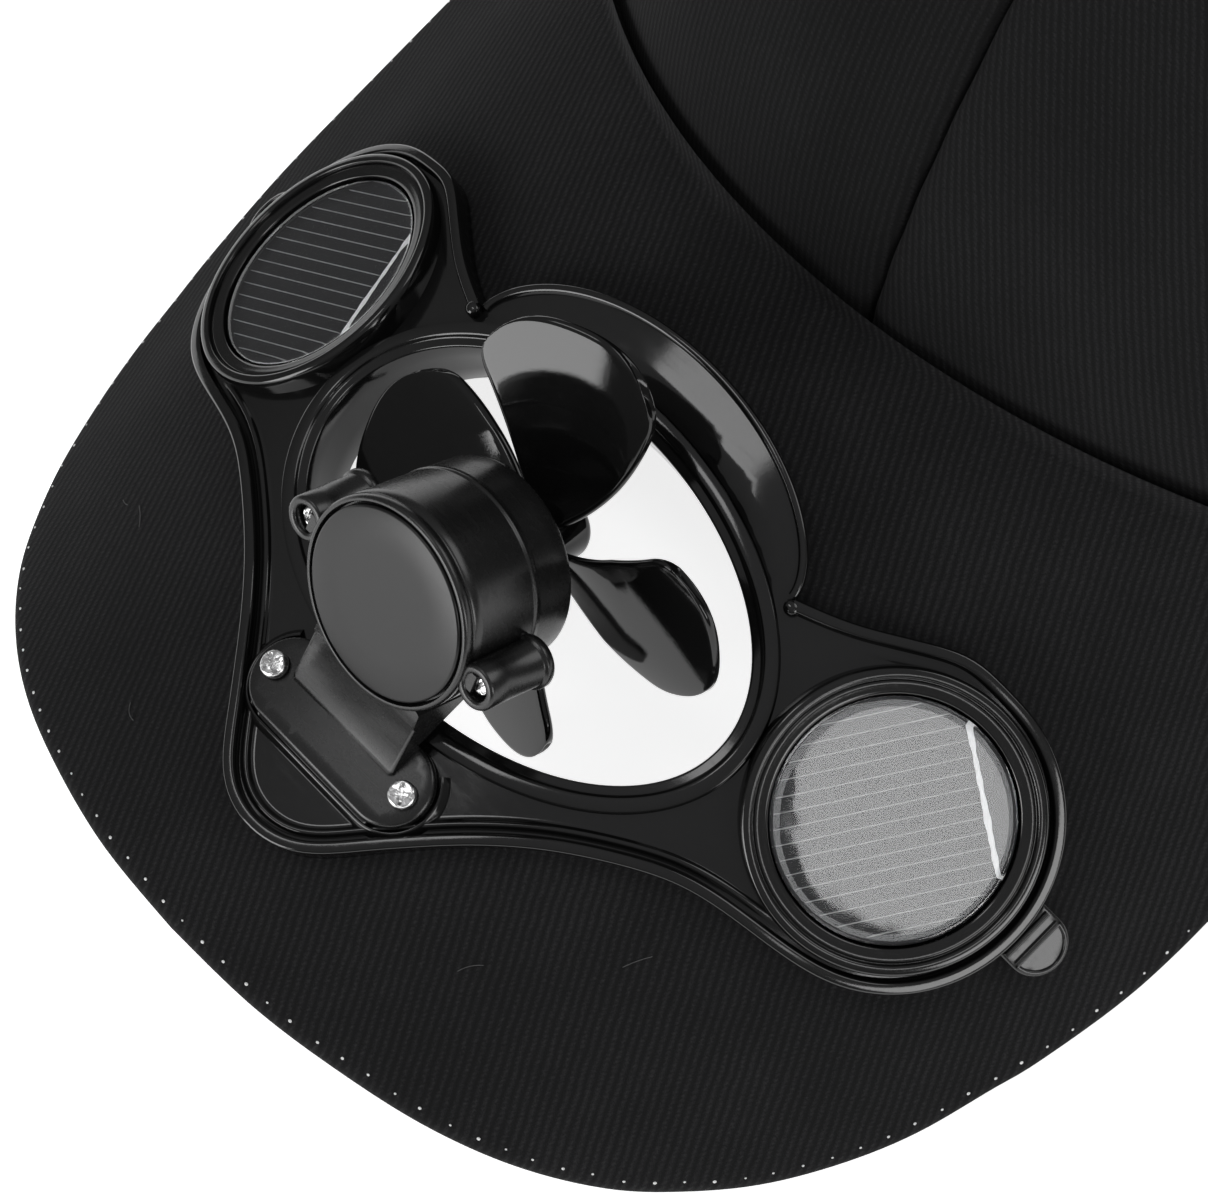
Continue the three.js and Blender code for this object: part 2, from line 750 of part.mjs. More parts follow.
function bracketScrew(side) {
  const seat = frameTop + clearance + bracketThickness + clearance;
  const angle = bracketHalfSpan / peakRadius;
  const place = onPeak(side * bracketHalfSpan, bracketAhead, seat);
  const shank = bracketThickness + 2 * clearance + frameThickness / 2;
  const body = screw(screwHeadRadius, screwHeadHeight, screwShankRadius, shank);
  return body.rotateY(side * angle).translate(place.x, place.y, place.z);
}

function bossScrew(side) {
  const seat = bossOpening - bossScrewDepth - smallScrewHead;
  const body = screw(smallScrewRadius, smallScrewHead, smallShankRadius, smallShankLength);
  return inMotor(body.translate(side * bossAcross, 0, seat));
}

// Rotor, in the motor's frame
const rotorPlane = -motorLength - bladeSetback;

function bladeRow(span, column) {
  const high = Math.max(bladeShape.findIndex((row) => row.span >= span), 1);
  const [a, b] = [bladeShape[high - 1], bladeShape[high]];
  const share = (span - a.span) / (b.span - a.span);
  const part = column / bladeColumns - 0.5;
  const between = (name) => THREE.MathUtils.lerp(a[name], b[name], share);
  const turn = part * between('turn');
  const tip = bladeRadius * (1 - bladeTipRound * Math.abs(2 * part) ** bladeTipPower);
  const radius = bladeRoot + span * (tip - bladeRoot);
  return { turn: turn + between('sweep'), radius, rise: radius * turn * Math.tan(between('pitch')) };
}

function blade(index) {
  const middle = bladePhase + (index / bladeCount) * 2 * Math.PI;
  const layer = (lift) => Array.from({ length: bladeRows + 1 }, (_, i) => (
    Array.from({ length: bladeColumns + 1 }, (_unused, j) => {
      const { turn, radius, rise } = bladeRow(i / bladeRows, j);
      const angle = middle + turn;
      return new THREE.Vector3(radius * Math.cos(angle), radius * Math.sin(angle), rotorPlane + rise + lift);
    })
  ));
  return slab(layer(bladeThickness / 2), layer(-bladeThickness / 2));
}

function hub() {
  const front = rotorPlane + hubFront;
  const back = rotorPlane - hubBack;
  return lathe([
    [0, back],
    [hubRadius - hubRound, back],
    [hubRadius, back + hubRound],
    [hubRadius, front],
    [shaftRadius + clearance, front],
    [shaftRadius + clearance, front - shaftInHub],
    [0, front - shaftInHub],
  ], bossSides).rotateX(Math.PI / 2);
}

function makeRotor() {
  const front = rotorPlane + hubFront;
  const bore = lathe([
    [0, front - shaftInHub],
    [shaftRadius + clearance, front - shaftInHub],
    [shaftRadius + clearance, front + hubFront],
    [0, front + hubFront],
  ], bossSides).rotateX(Math.PI / 2);
  const blades = Array.from({ length: bladeCount }, (_, index) => blade(index));
  return inMotor(geometryOf(joined([hub(), ...blades]).subtract(solid(bore))));
}

function makeShaft() {
  const front = -motorLength + shaftInMotor - clearance;
  const back = rotorPlane + hubFront - shaftInHub + clearance;
  return inMotor(lathe([
    [0, back],
    [shaftRadius, back],
    [shaftRadius, front],
    [0, front],
  ], bossSides).rotateX(Math.PI / 2));
}

// The whole hat: the crown stands level, and what the peak carries shares the peak's pitch
const hat = new THREE.Group();
const onPitch = new THREE.Group();
onPitch.rotation.x = peakPitch;
hat.add(onPitch);

function put(group, name, geometry, material) {
  geometry.computeVertexNormals();
  const mesh = new THREE.Mesh(geometry, material);
  mesh.name = name;
  group.add(mesh);
}

for (let index = 0; index < crownPanels; index += 1) {
  put(hat, `crown_panel_${index + 1}`, makePanel(index), cloth);
}
put(onPitch, 'peak', makePeak(), cloth);
put(onPitch, 'module_frame', makeFrame(), gloss);
put(onPitch, 'motor_mount', makeMount(), gloss);
put(onPitch, 'motor_cap', makeCap(), satin);
put(onPitch, 'fan_rotor', makeRotor(), gloss);
put(onPitch, 'fan_shaft', makeShaft(), steel);

const cellLow = cupBed + clearance;
const windowLow = cellLow + cellThickness + clearance;
for (const [name, side] of [['left', 1], ['right', -1]]) {
  put(onPitch, `solar_cell_${name}`, disc(cellRadius, cellLow, cellLow + cellThickness, side), cellBlack);
  put(onPitch, `cell_window_${name}`, disc(cellRadius, windowLow, windowLow + windowThickness, side), clear);
  put(onPitch, `side_tab_${name}`, makeTab(side), tabPlastic);
  put(onPitch, `bracket_screw_${name}`, bracketScrew(side), steel);
  put(onPitch, `boss_screw_${name}`, bossScrew(side), steel);
}

const part = new THREE.Group();
part.add(hat);
part.updateMatrixWorld(true);
const box = new THREE.Box3().setFromObject(hat, true);
hat.position.set(-(box.min.x + box.max.x) / 2, -(box.min.y + box.max.y) / 2, -box.min.z);

export default part;
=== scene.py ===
import json
import math

import bmesh
import bpy
import numpy as np
from mathutils import Matrix, Vector
from mathutils.geometry import delaunay_2d_cdt


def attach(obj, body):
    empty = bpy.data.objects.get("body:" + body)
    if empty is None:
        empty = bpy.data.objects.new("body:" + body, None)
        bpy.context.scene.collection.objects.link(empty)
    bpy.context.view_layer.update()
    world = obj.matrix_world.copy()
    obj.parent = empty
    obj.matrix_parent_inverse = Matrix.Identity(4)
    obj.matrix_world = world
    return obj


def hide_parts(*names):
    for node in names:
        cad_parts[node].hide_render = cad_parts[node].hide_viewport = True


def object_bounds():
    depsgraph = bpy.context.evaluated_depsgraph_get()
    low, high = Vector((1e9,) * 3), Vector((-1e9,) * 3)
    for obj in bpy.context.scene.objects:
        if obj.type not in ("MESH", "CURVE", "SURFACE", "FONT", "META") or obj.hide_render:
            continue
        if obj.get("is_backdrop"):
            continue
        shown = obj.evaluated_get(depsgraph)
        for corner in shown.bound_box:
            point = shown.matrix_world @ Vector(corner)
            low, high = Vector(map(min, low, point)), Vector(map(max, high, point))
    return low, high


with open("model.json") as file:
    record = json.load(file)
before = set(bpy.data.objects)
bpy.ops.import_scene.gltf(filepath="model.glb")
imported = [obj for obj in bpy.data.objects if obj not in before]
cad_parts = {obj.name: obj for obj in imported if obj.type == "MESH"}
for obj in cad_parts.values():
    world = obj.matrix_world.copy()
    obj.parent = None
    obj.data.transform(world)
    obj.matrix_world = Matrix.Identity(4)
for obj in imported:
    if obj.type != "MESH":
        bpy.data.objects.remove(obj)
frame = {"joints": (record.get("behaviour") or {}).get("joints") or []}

cad_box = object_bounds()
rng = np.random.default_rng(7)
DEG = math.pi / 180
GAP = 0.3
MM_PER_M = 1000
MM_PER_UV = 100

# Sizes in millimetres, as in the CAD source
PEAK_R, PEAK_BENT, PEAK_HALF, PEAK_REACH, PEAK_THICK = 88, 61.5, 76.6, 50.5, 3
PITCH, PEAK_TO_CROWN = 15 * DEG, 39.6
PEAK_EDGE = [(0, 1), (.157, .99), (.3, .958), (.431, .914), (.548, .85), (.653, .762), (.731, .664),
             (.805, .545), (.866, .406), (.911, .265), (.945, .1), (.965, 0), (.99, -.188),
             (.999, -.34), (1, -.55), (1, -.95), (.995, -1.34)]
CROWN_W, CROWN_L, CROWN_H, CROWN_WALL, CROWN_TURN = 86, 96, 85, 1.6, 5.4 * DEG
LEAN_FRONT, LEAN_BACK, CROWN_TIP, UNDER_TIP, FLAT_RIM = 1.4, 2.3, .3, .01, .82
FRAME_THICK, NOSE, WING_R, CUP_HOLE = 1.7, 37.8, 17, 12.9
FRAME_FRONT = [(0, 1), (.131, .952), (.265, .78), (.39, .62), (.53, .478), (.71, .347), (.835, .297)]
FRAME_BACK = [(.87, 1.38), (.758, 1.22), (.64, 1.04), (.517, .915)]
HOLE_A, HOLE_B, HOLE_WALL, HOLE_DEPTH, HOLE_RIM = 27.5, 17.2, 1.1, 4.4, 1.6
HOOD_REACH, HOOD_SHOULDER, HOOD_RISE, HOOD_RAMP, HOOD_CURVE = 26.9, 1.2, 1.1, .2, .7
CELL_X, CELL_BACK = 44.2, 7
CELL_TOP, BUSBAR_AT, BUSBAR_HALF, FINGER_STEP, FINGER_REACH = 1.6, 9.1, 7.8, 1.52, 11.7
TAB_HALF, TAB_REACH, TAB_BACK, TAB_THICK = 3.4, 5.4, 8.3, 1.5
MOTOR_AHEAD, MOTOR_UP, MOTOR_TILT, MOTOR_LEN, MOTOR_R = 12.4, 16.5, 45 * DEG, 15.2, 10.9
BOSS_X, BOSS_R, BOSS_LEN, BOSS_BACK = 12.5, 2.4, 8.4, .5
PLATE_HALF, PLATE_AHEAD, PLATE_ROUND, PLATE_THICK, SCREW_X = 11.8, 24.6, 4.5, 1.3, 9.35
SADDLE_HALF, SADDLE_SETBACK, SADDLE_SINK, SADDLE_RUN = 7.5, 1.3, 2, 9
BLADE_R, BLADE_PHASE, BLADE_BACK, BLADE_ROOT, BLADE_THICK = 24.4, -6.6 * DEG, 6, 2.4, 1.1
BLADE_SHAPE = [(0, 61, 0, 25.6), (.5, 61, 10, 17), (1, 54.6, 19.2, 17)]
TIP_ROUND, TIP_POWER = .133, 3
STITCH, PEAK_ROUND = 3.1, 1.3
LOW, TOP = GAP, GAP + FRAME_THICK
ROTOR_Z = -MOTOR_LEN - BLADE_BACK


def turn_x(points, angle):
    c, s = math.cos(angle), math.sin(angle)
    x, y, z = points[..., 0], points[..., 1], points[..., 2]
    return np.stack([x, c * y - s * z, s * y + c * z], -1)


# The hat's place in the row frame, from the joint that stands at the rotor's centre
rotor_at = np.array(frame["joints"][0]["pos_m"], float) * MM_PER_M
in_peak = turn_x(np.array([0, 0, ROTOR_Z], float), MOTOR_TILT) + (0, -MOTOR_AHEAD, MOTOR_UP)
HAT = rotor_at - turn_x(in_peak, PITCH)


def from_hat(points):
    return (np.asarray(points, float) + HAT) / MM_PER_M


def from_peak(points):
    return from_hat(turn_x(np.asarray(points, float), PITCH))


def from_motor(points):
    return from_peak(turn_x(np.asarray(points, float), MOTOR_TILT) + (0, -MOTOR_AHEAD, MOTOR_UP))


def on_peak(across, ahead, up):
    """Places on the bent peak, in the peak's frame."""
    across, ahead, up = np.broadcast_arrays(*(np.asarray(a, float) for a in (across, ahead, up)))
    reach = np.abs(across)
    angle = np.minimum(reach, PEAK_BENT) / PEAK_R
    flat = np.maximum(reach - PEAK_BENT, 0)
    x = (PEAK_R + up) * np.sin(angle) + flat * np.cos(angle)
    z = (PEAK_R + up) * np.cos(angle) - PEAK_R - flat * np.sin(angle)
    return np.stack([np.sign(across) * x, -ahead, z], -1)


# Camera at the photo's angle: its place and its right, up and back axes in the peak's frame, in millimetres
PHOTO_WIDTH, FOCAL_PIXELS = 1208, 3887.4
CAMERA_AT = (152.486, -3.771, 354.29)
CAMERA_AXES = ((.66748, .69880, -.25719), (-.64318, .71511, .27376), (.37523, -.01731, .92677))
scene = bpy.context.scene
cam = bpy.data.objects.new("camera", bpy.data.cameras.new("camera"))
scene.collection.objects.link(cam)
scene.camera = cam
cam.data.sensor_width = 36
cam.data.lens = cam.data.sensor_width * FOCAL_PIXELS / PHOTO_WIDTH
cam.data.clip_start = .01
cam.location = from_peak(CAMERA_AT)
axes = Matrix([list(turn_x(np.array(axis), PITCH)) for axis in CAMERA_AXES]).transposed()
cam.matrix_world = Matrix.LocRotScale(cam.location, axes, None)


# Materials
def material(name):
    m = bpy.data.materials.new(name)
    m.use_nodes = True
    tree = m.node_tree
    tree.nodes.clear()
    out = tree.nodes.new("ShaderNodeOutputMaterial")
    bsdf = tree.nodes.new("ShaderNodeBsdfPrincipled")
    tree.links.new(bsdf.outputs[0], out.inputs[0])
    return m, tree, bsdf


def node(tree, kind, inputs=None, **settings):
    n = tree.nodes.new("ShaderNode" + kind)
    for k, v in settings.items():
        setattr(n, k, v)
    for k, v in (inputs or {}).items():
        if isinstance(v, bpy.types.NodeSocket):
            tree.links.new(v, n.inputs[k])
        else:
            n.inputs[k].default_value = v
    return n


def math_node(tree, operation, a, b=0.0, c=0.0):
    return node(tree, "Math", {0: a, 1: b, 2: c}, operation=operation).outputs[0]


def ramp(tree, factor, stops):
    n = node(tree, "ValToRGB", {0: factor})
    n.color_ramp.elements[0].position, n.color_ramp.elements[1].position = stops[0][0], stops[-1][0]
    n.color_ramp.elements[0].color, n.color_ramp.elements[1].color = stops[0][1], stops[-1][1]
    for place, colour in stops[1:-1]:
        n.color_ramp.elements.new(place).color = colour
    return n.outputs[0]


def grey(v, tint=0.0):
    return (v, v, v * (1 + tint), 1)


def noise(tree, at, scale, detail, rough=.5):
    inputs = {"Vector": at, "Scale": float(scale), "Detail": float(detail), "Roughness": rough}
    return node(tree, "TexNoise", inputs).outputs


def in_object(tree):
    return node(tree, "TexCoord").outputs["Object"]


def bump(tree, bsdf, height, strength, distance, before=None):
    n = node(tree, "Bump", {"Height": height, "Strength": strength, "Distance": distance})
    if before:
        tree.links.new(before, n.inputs["Normal"])
    tree.links.new(n.outputs[0], bsdf.inputs["Normal"])
    return n.outputs[0]


RIB, YARN, WOBBLE = .0092, .0052, .0045


def cloth_material(name, angle, base):
    """Black cotton twill: slanting ribs, finer yarn across them, fuzz and faint wear.

    RIB, YARN and WOBBLE are lengths on the fabric map, the first two from one thread to the next.
    """
    m, t, bsdf = material(name)
    uv = node(t, "UVMap", uv_map="fabric").outputs[0]
    turned = node(t, "VectorRotate", {"Vector": uv, "Angle": angle}, rotation_type="Z_AXIS").outputs[0]
    wobble = noise(t, uv, 34, 5)[1]
    bent = node(t, "VectorMath", {0: wobble, 1: (.5, .5, .5)}, operation="SUBTRACT").outputs[0]
    bent = node(t, "VectorMath", {0: bent, "Scale": WOBBLE}, operation="SCALE").outputs[0]
    place = node(t, "VectorMath", {0: turned, 1: bent}, operation="ADD").outputs[0]
    x, y, _ = node(t, "SeparateXYZ", {0: place}).outputs
    rib = math_node(t, "SINE", math_node(t, "MULTIPLY", x, 2 * math.pi / RIB))
    rib = math_node(t, "MULTIPLY_ADD", rib, .5, .5)
    lean = math_node(t, "ADD", y, math_node(t, "MULTIPLY", x, .6))
    yarn = math_node(t, "SINE", math_node(t, "MULTIPLY", lean, 2 * math.pi / YARN))
    yarn = math_node(t, "MULTIPLY_ADD", yarn, .5, .5)
    fuzz = noise(t, uv, 700, 4, .7)[0]
    patch = noise(t, uv, 4, 5, .6)[0]
    weave = math_node(t, "MULTIPLY", rib, math_node(t, "MULTIPLY_ADD", yarn, .4, .6))
    grain = noise(t, turned, 240, 3, .6)[0]
    broken = math_node(t, "MULTIPLY", weave, math_node(t, "MULTIPLY_ADD", grain, 1.5, -.15))
    tone = math_node(t, "MULTIPLY_ADD", broken, .42, math_node(t, "MULTIPLY", fuzz, .95))
    tone = math_node(t, "MULTIPLY_ADD", patch, .35, tone)
    stops = [(.3, grey(base * .25, .04)), (.72, grey(base, .05)), (1, grey(base * 2.8, .03))]
    colour = ramp(t, tone, stops)
    t.links.new(colour, bsdf.inputs["Base Color"])
    bsdf.inputs["Specular IOR Level"].default_value = .12
    rough = math_node(t, "MULTIPLY_ADD", fuzz, .16, .78)
    t.links.new(rough, bsdf.inputs["Roughness"])
    bsdf.inputs["Sheen Weight"].default_value = .012
    bsdf.inputs["Sheen Roughness"].default_value = .5
    bump(t, bsdf, math_node(t, "MULTIPLY_ADD", fuzz, .5, broken), .5, .00016)
    return m


def plastic_material(name, base, rough, wave=.00012, spread=.06, specular=.5):
    """Moulded black plastic: slow waviness, fine scratches and handling dust in its gloss."""
    m, t, bsdf = material(name)
    at = in_object(t)
    slow = noise(t, at, 95, 2)[0]
    dust = noise(t, at, 1500, 5, .75)[0]
    stretch = node(t, "Mapping", {"Vector": at, "Scale": (90, 1400, 900), "Rotation": (.3, .2, .7)})
    scratch = noise(t, stretch.outputs[0], 1, 3)[0]
    mark = ramp(t, scratch, [(.56, grey(0)), (.72, grey(1))])
    colour = ramp(t, dust, [(.3, grey(base * .8)), (.62, grey(base)), (.8, grey(base * 2.2))])
    t.links.new(colour, bsdf.inputs["Base Color"])
    level = math_node(t, "MULTIPLY_ADD", dust, spread, rough - spread * .5)
    level = math_node(t, "MULTIPLY_ADD", mark, spread * .8, level)
    t.links.new(level, bsdf.inputs["Roughness"])
    bsdf.inputs["Specular IOR Level"].default_value = specular
    wavy = bump(t, bsdf, slow, .5, wave)
    bump(t, bsdf, dust, .12, .00003, wavy)
    return m


def steel_material():
    m, t, bsdf = material("bright_plate")
    grain = noise(t, in_object(t), 2400, 4)[0]
    colour = ramp(t, grain, [(.25, grey(.5)), (.5, grey(.78)), (.8, grey(.9))])
    t.links.new(colour, bsdf.inputs["Base Color"])
    bsdf.inputs["Metallic"].default_value = 1
    t.links.new(math_node(t, "MULTIPLY_ADD", grain, .25, .12), bsdf.inputs["Roughness"])
    bump(t, bsdf, grain, .5, .00006)
    return m


def cell_material():
    m, t, bsdf = material("silicon")
    grain = noise(t, in_object(t), 420, 4, .7)[0]
    colour = ramp(t, grain, [(.3, grey(.006, .25)), (.7, grey(.014, .214))])
    t.links.new(colour, bsdf.inputs["Base Color"])
    bsdf.inputs["Specular IOR Level"].default_value = .12
    t.links.new(math_node(t, "MULTIPLY_ADD", grain, .2, .3), bsdf.inputs["Roughness"])
    bump(t, bsdf, grain, .2, .00004)
    return m


def silver_material(name, low, high, rough, painted_glow=0.0):
    """Grey print, solder or thread from a low to a high tone. An optional glow adds painted light: an
    emission that brightens the lines where the window keeps the lamps' light off them.
    """
    m, t, bsdf = material(name)
    grain = noise(t, in_object(t), 1900, 4)[0]
    t.links.new(ramp(t, grain, [(.3, grey(low)), (.7, grey(high))]), bsdf.inputs["Base Color"])
    t.links.new(math_node(t, "MULTIPLY_ADD", grain, .2, rough), bsdf.inputs["Roughness"])
    # Painted light: this white emission brightens the lines, which are no lamp, in place of light that does
    # not reach them under the window.
    bsdf.inputs["Emission Color"].default_value = (1, 1, 1, 1)
    bsdf.inputs["Emission Strength"].default_value = painted_glow
    bump(t, bsdf, grain, .6, .00008)
    return m


def window_material():
    m, t, bsdf = material("clear_resin")
    at = in_object(t)
    ripple = noise(t, at, 130, 2)[0]
    dust = noise(t, at, 1300, 5)[0]
    bsdf.inputs["Base Color"].default_value = (.95, .96, .97, 1)
    bsdf.inputs["Transmission Weight"].default_value = 1
    bsdf.inputs["IOR"].default_value = 1.5
    t.links.new(math_node(t, "MULTIPLY_ADD", dust, .05, 0.0), bsdf.inputs["Roughness"])
    bump(t, bsdf, ripple, .25, .00006)
    return m


CLOTH_PEAK = cloth_material("twill_peak", 27 * DEG, .0078)
CLOTH_CROWN = cloth_material("twill_crown", -13 * DEG, .0058)
CLOTH_SIDE = cloth_material("twill_side", -20 * DEG, .0047)
THREAD = silver_material("thread", .55, .8, .6)
LINT = silver_material("lint", .05, .1, .8)
GLOSS = plastic_material("gloss_black", .0045, .1)
MOTOR = plastic_material("motor_black", .0055, .27)
SATIN = plastic_material("satin_cap", .0025, .3, wave=.00005, spread=.05, specular=.36)
BLADE = plastic_material("blade_black", .004, .045, wave=.00005, spread=.03, specular=.4)
TAB = plastic_material("tab_plastic", .012, .22)
STEEL, CELL, WINDOW = steel_material(), cell_material(), window_material()
# The busbar and fingers glow a little. This is painted light that stands in for the light the clear window
# keeps off them.
BUSBAR = silver_material("busbar", .85, 1, .4, .2)
FINGER = silver_material("finger", .3, .45, .5, .015)


# Mesh helpers
class Build:
    """Collects grids and loops of points into one mesh."""

    def __init__(self):
        self.points, self.faces, self.uvs, self.slots = [], [], [], []
        self.count = 0

    def add(self, points, faces, slot=0, uv=None):
        points = np.asarray(points, float).reshape(-1, 3)
        self.points.append(points)
        self.faces += [[i + self.count for i in f] for f in faces]
        self.slots += [slot] * len(faces)
        self.uvs.append(np.zeros((len(points), 2)) if uv is None else np.asarray(uv, float).reshape(-1, 2))
        self.count += len(points)

    def grid(self, points, slot=0, close_u=False, close_v=False, flip=False, uv=None):
        n, k = points.shape[:2]
        faces = []
        for i in range(n if close_u else n - 1):
            for j in range(k if close_v else k - 1):
                a, b = i * k + j, ((i + 1) % n) * k + j
                c, d = ((i + 1) % n) * k + (j + 1) % k, i * k + (j + 1) % k
                faces.append([a, d, c, b] if flip else [a, b, c, d])
        self.add(points, faces, slot, uv)

    def object(self, name, materials, body="cap", sharp=None):
        mesh = bpy.data.meshes.new(name)
        mesh.from_pydata(np.vstack(self.points).tolist(), [], self.faces)
        for m in materials:
            mesh.materials.append(m)
        mesh.polygons.foreach_set("material_index", self.slots)
        layer = mesh.uv_layers.new(name="fabric")
        uv = np.vstack(self.uvs)
        loops = np.zeros(len(mesh.loops), int)
        mesh.loops.foreach_get("vertex_index", loops)
        layer.data.foreach_set("uv", uv[loops].astype(np.float32).ravel())
        mesh.update()
        bm = bmesh.new()
        bm.from_mesh(mesh)
        bmesh.ops.remove_doubles(bm, verts=bm.verts, dist=2e-6)
        bmesh.ops.recalc_face_normals(bm, faces=bm.faces)
        bm.to_mesh(mesh)
        bm.free()
        mesh.polygons.foreach_set("use_smooth", [True] * len(mesh.polygons))
        if sharp:
            mesh.set_sharp_from_angle(angle=sharp * DEG)
        obj = bpy.data.objects.new(name, mesh)
        scene.collection.objects.link(obj)
        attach(obj, body)
        return obj


def catmull(points, steps):
    """A smooth line through points, with steps points in each span."""
    p = np.asarray(points, float)
    p = np.vstack([p[:1], p, p[-1:]])
    out = []
    for i in range(1, len(p) - 2):
        for k in range(steps):
            w = k / steps
            a, b, c, d = p[i - 1:i + 3]
            v0, v1 = (c - a) / 2, (d - b) / 2
            cubed, squared = 2 * b - 2 * c + v0 + v1, -3 * b + 3 * c - 2 * v0 - v1
            out.append(cubed * w ** 3 + squared * w ** 2 + v0 * w + b)
    return np.array(out + [p[-1]])


def arc(cx, cy, r, start, end, steps):
    a = np.linspace(start, end, steps + 1)
    return np.stack([cx + r * np.cos(a), cy + r * np.sin(a)], -1)


def even(line, step):
    """The same line with points at an even distance."""
    d = np.r_[0, np.cumsum(np.linalg.norm(np.diff(line, axis=0), axis=1))]
    n = max(int(round(d[-1] / step)), 2)
    at = np.linspace(0, d[-1], n + 1)
    return np.stack([np.interp(at, d, line[:, k]) for k in range(line.shape[1])], -1)


def inset(line, distance, closed=False):
    """Moves a flat line to its right."""
    if closed:
        run = np.roll(line, -1, 0) - np.roll(line, 1, 0)
    else:
        run = np.gradient(line, axis=0)
    run /= np.linalg.norm(run, axis=1)[:, None]
    return line + distance * np.stack([run[:, 1], -run[:, 0]], -1)


def inside(points, loop):
    x, y = points[:, 0][:, None], points[:, 1][:, None]
    a, b = loop, np.roll(loop, -1, 0)
    cross = (a[:, 1] > y) != (b[:, 1] > y)
    with np.errstate(divide="ignore", invalid="ignore"):
        at = (b[:, 0] - a[:, 0]) * (y - a[:, 1]) / (b[:, 1] - a[:, 1]) + a[:, 0]
    return (cross & (x < at)).sum(1) % 2 == 1


def nearest(points, loop):
    best = np.full(len(points), 1e9)
    for k in range(0, len(loop), 64):
        d = np.linalg.norm(points[:, None] - loop[None, k:k + 64], axis=2).min(1)
        best = np.minimum(best, d)
    return best


def filled(outer, holes, spacing):
    """Triangles over a flat region, with even points inside it."""
    lo, hi = outer.min(0), outer.max(0)
    xs = np.arange(lo[0], hi[0], spacing)
    ys = np.arange(lo[1], hi[1], spacing * .87)
    g = np.array([(x + (spacing / 2 if j % 2 else 0), y) for j, y in enumerate(ys) for x in xs])
    keep = inside(g, outer)
    for h in holes:
        keep &= ~inside(g, h)
    g = g[keep]
    for loop in [outer, *holes]:
        g = g[nearest(g, loop) > spacing * .55]
    points, edges = [], []
    for loop in [outer, *holes]:
        n = len(points)
        points += [tuple(p) for p in loop]
        edges += [(n + i, n + (i + 1) % len(loop)) for i in range(len(loop))]
    points += [tuple(p) for p in g]
    co, _, tri, *_ = delaunay_2d_cdt([Vector(p) for p in points], edges, [], 0, 1e-6)
    co = np.array([tuple(p) for p in co])
    mid = np.array([co[list(t)].mean(0) for t in tri])
    ok = inside(mid, outer)
    for h in holes:
        ok &= ~inside(mid, h)
    return co, [list(t) for t, k in zip(tri, ok) if k]


def turns(steps):
    return np.linspace(0, 2 * math.pi, steps, endpoint=False)


def lathe_points(profile, sides):
    """Points round a Z axis for a profile of (radius, height)."""
    a = turns(sides)
    p = np.asarray(profile, float)
    return np.stack([p[:, 0][None] * np.cos(a)[:, None], p[:, 0][None] * np.sin(a)[:, None],
                     np.broadcast_to(p[:, 1][None], (sides, len(p)))], -1)


def tube(line, radius, sides):
    """Points of a round tube along a line in space."""
    line = np.asarray(line, float)
    run = np.gradient(line, axis=0)
    run /= np.linalg.norm(run, axis=1)[:, None]
    ref = np.cross(run, (.1, .2, .97))
    ref /= np.linalg.norm(ref, axis=1)[:, None]
    other = np.cross(run, ref)
    a = turns(sides)[None, :, None]
    return line[:, None] + radius * (np.cos(a) * ref[:, None] + np.sin(a) * other[:, None])


def swept(loop, profile, closed=False):
    """Flat places along a loop, each moved in by the profile's distances."""
    side = inset(loop, 1.0, closed) - loop
    return loop[:, None] + side[:, None] * np.asarray(profile, float)[None, :, :1]


def band(build, loop, profile, place, closed=False, ends=False):
    """Sweeps a profile of (distance inwards, height) along a loop whose inside is on its right."""
    at = swept(loop, profile, closed)
    up = np.broadcast_to(np.asarray(profile, float)[None, :, 1], at.shape[:2])
    points = place(at[..., 0], at[..., 1], up)
    build.grid(points, close_u=closed)
    if ends:
        for row in (points[0], points[-1]):
            build.add(row, [list(range(len(row)))])


def sheet(build, outer, holes, spacing, height, place):
    """A flat region laid at a height, which may be a function of the place."""
    co, tri = filled(outer, holes, spacing)
    up = height(co[:, 0], co[:, 1]) if callable(height) else np.full(len(co), height)
    build.add(place(co[:, 0], co[:, 1], up), tri, uv=co / MM_PER_UV)


def prism(build, polygon, low, high, bevel, place):
    """A flat polygon given depth, its ends narrowed a little."""
    p = np.asarray(polygon, float)
    mid = p.mean(0)
    near = p + (mid - p) * (bevel / np.linalg.norm(mid - p, axis=1))[:, None]
    rows = [place(np.c_[q, np.full(len(p), z)]) for q, z in
            ((near, low), (p, low + bevel), (p, high - bevel), (near, high))]
    build.grid(np.array(rows), close_v=True)
    build.add(rows[0], [list(range(len(p)))])
    build.add(rows[-1], [list(range(len(p)))])


def peak_place(across, ahead, up):
    return from_peak(on_peak(across, ahead, up))


def upright_at(across, ahead, up):
    """Places points whose Z stands square on the bent peak at one spot."""
    a = across / PEAK_R
    middle = on_peak(across, ahead, up)

    def place(points):
        x = points[..., 0] * math.cos(a) + points[..., 2] * math.sin(a)
        z = -points[..., 0] * math.sin(a) + points[..., 2] * math.cos(a)
        return from_peak(np.stack([x, points[..., 1], z], -1) + middle)
    return place


def at_cell(side):
    return upright_at(side * CELL_X, -CELL_BACK, 0)


def ellipse(grow):
    """A line round the fan hole, that far outside it."""
    a = -turns(160)
    return np.stack([(HOLE_A + grow) * np.cos(a), (HOLE_B + grow) * np.sin(a)], -1)


def mirrored(points):
    return (np.asarray(points) * (-1, 1))[::-1]


# Crown shape
def crown_side_ahead(across):
    place = on_peak(across, 0, 0)
    wide, long = CROWN_W + GAP, CROWN_L + GAP
    middle = turn_x(on_peak(0, -PEAK_TO_CROWN, 0), PITCH)[..., 1] + long
    y = middle - long * np.sqrt(1 - (place[..., 0] / wide) ** 2)
    return -(y + place[..., 2] * math.sin(PITCH)) / math.cos(PITCH)


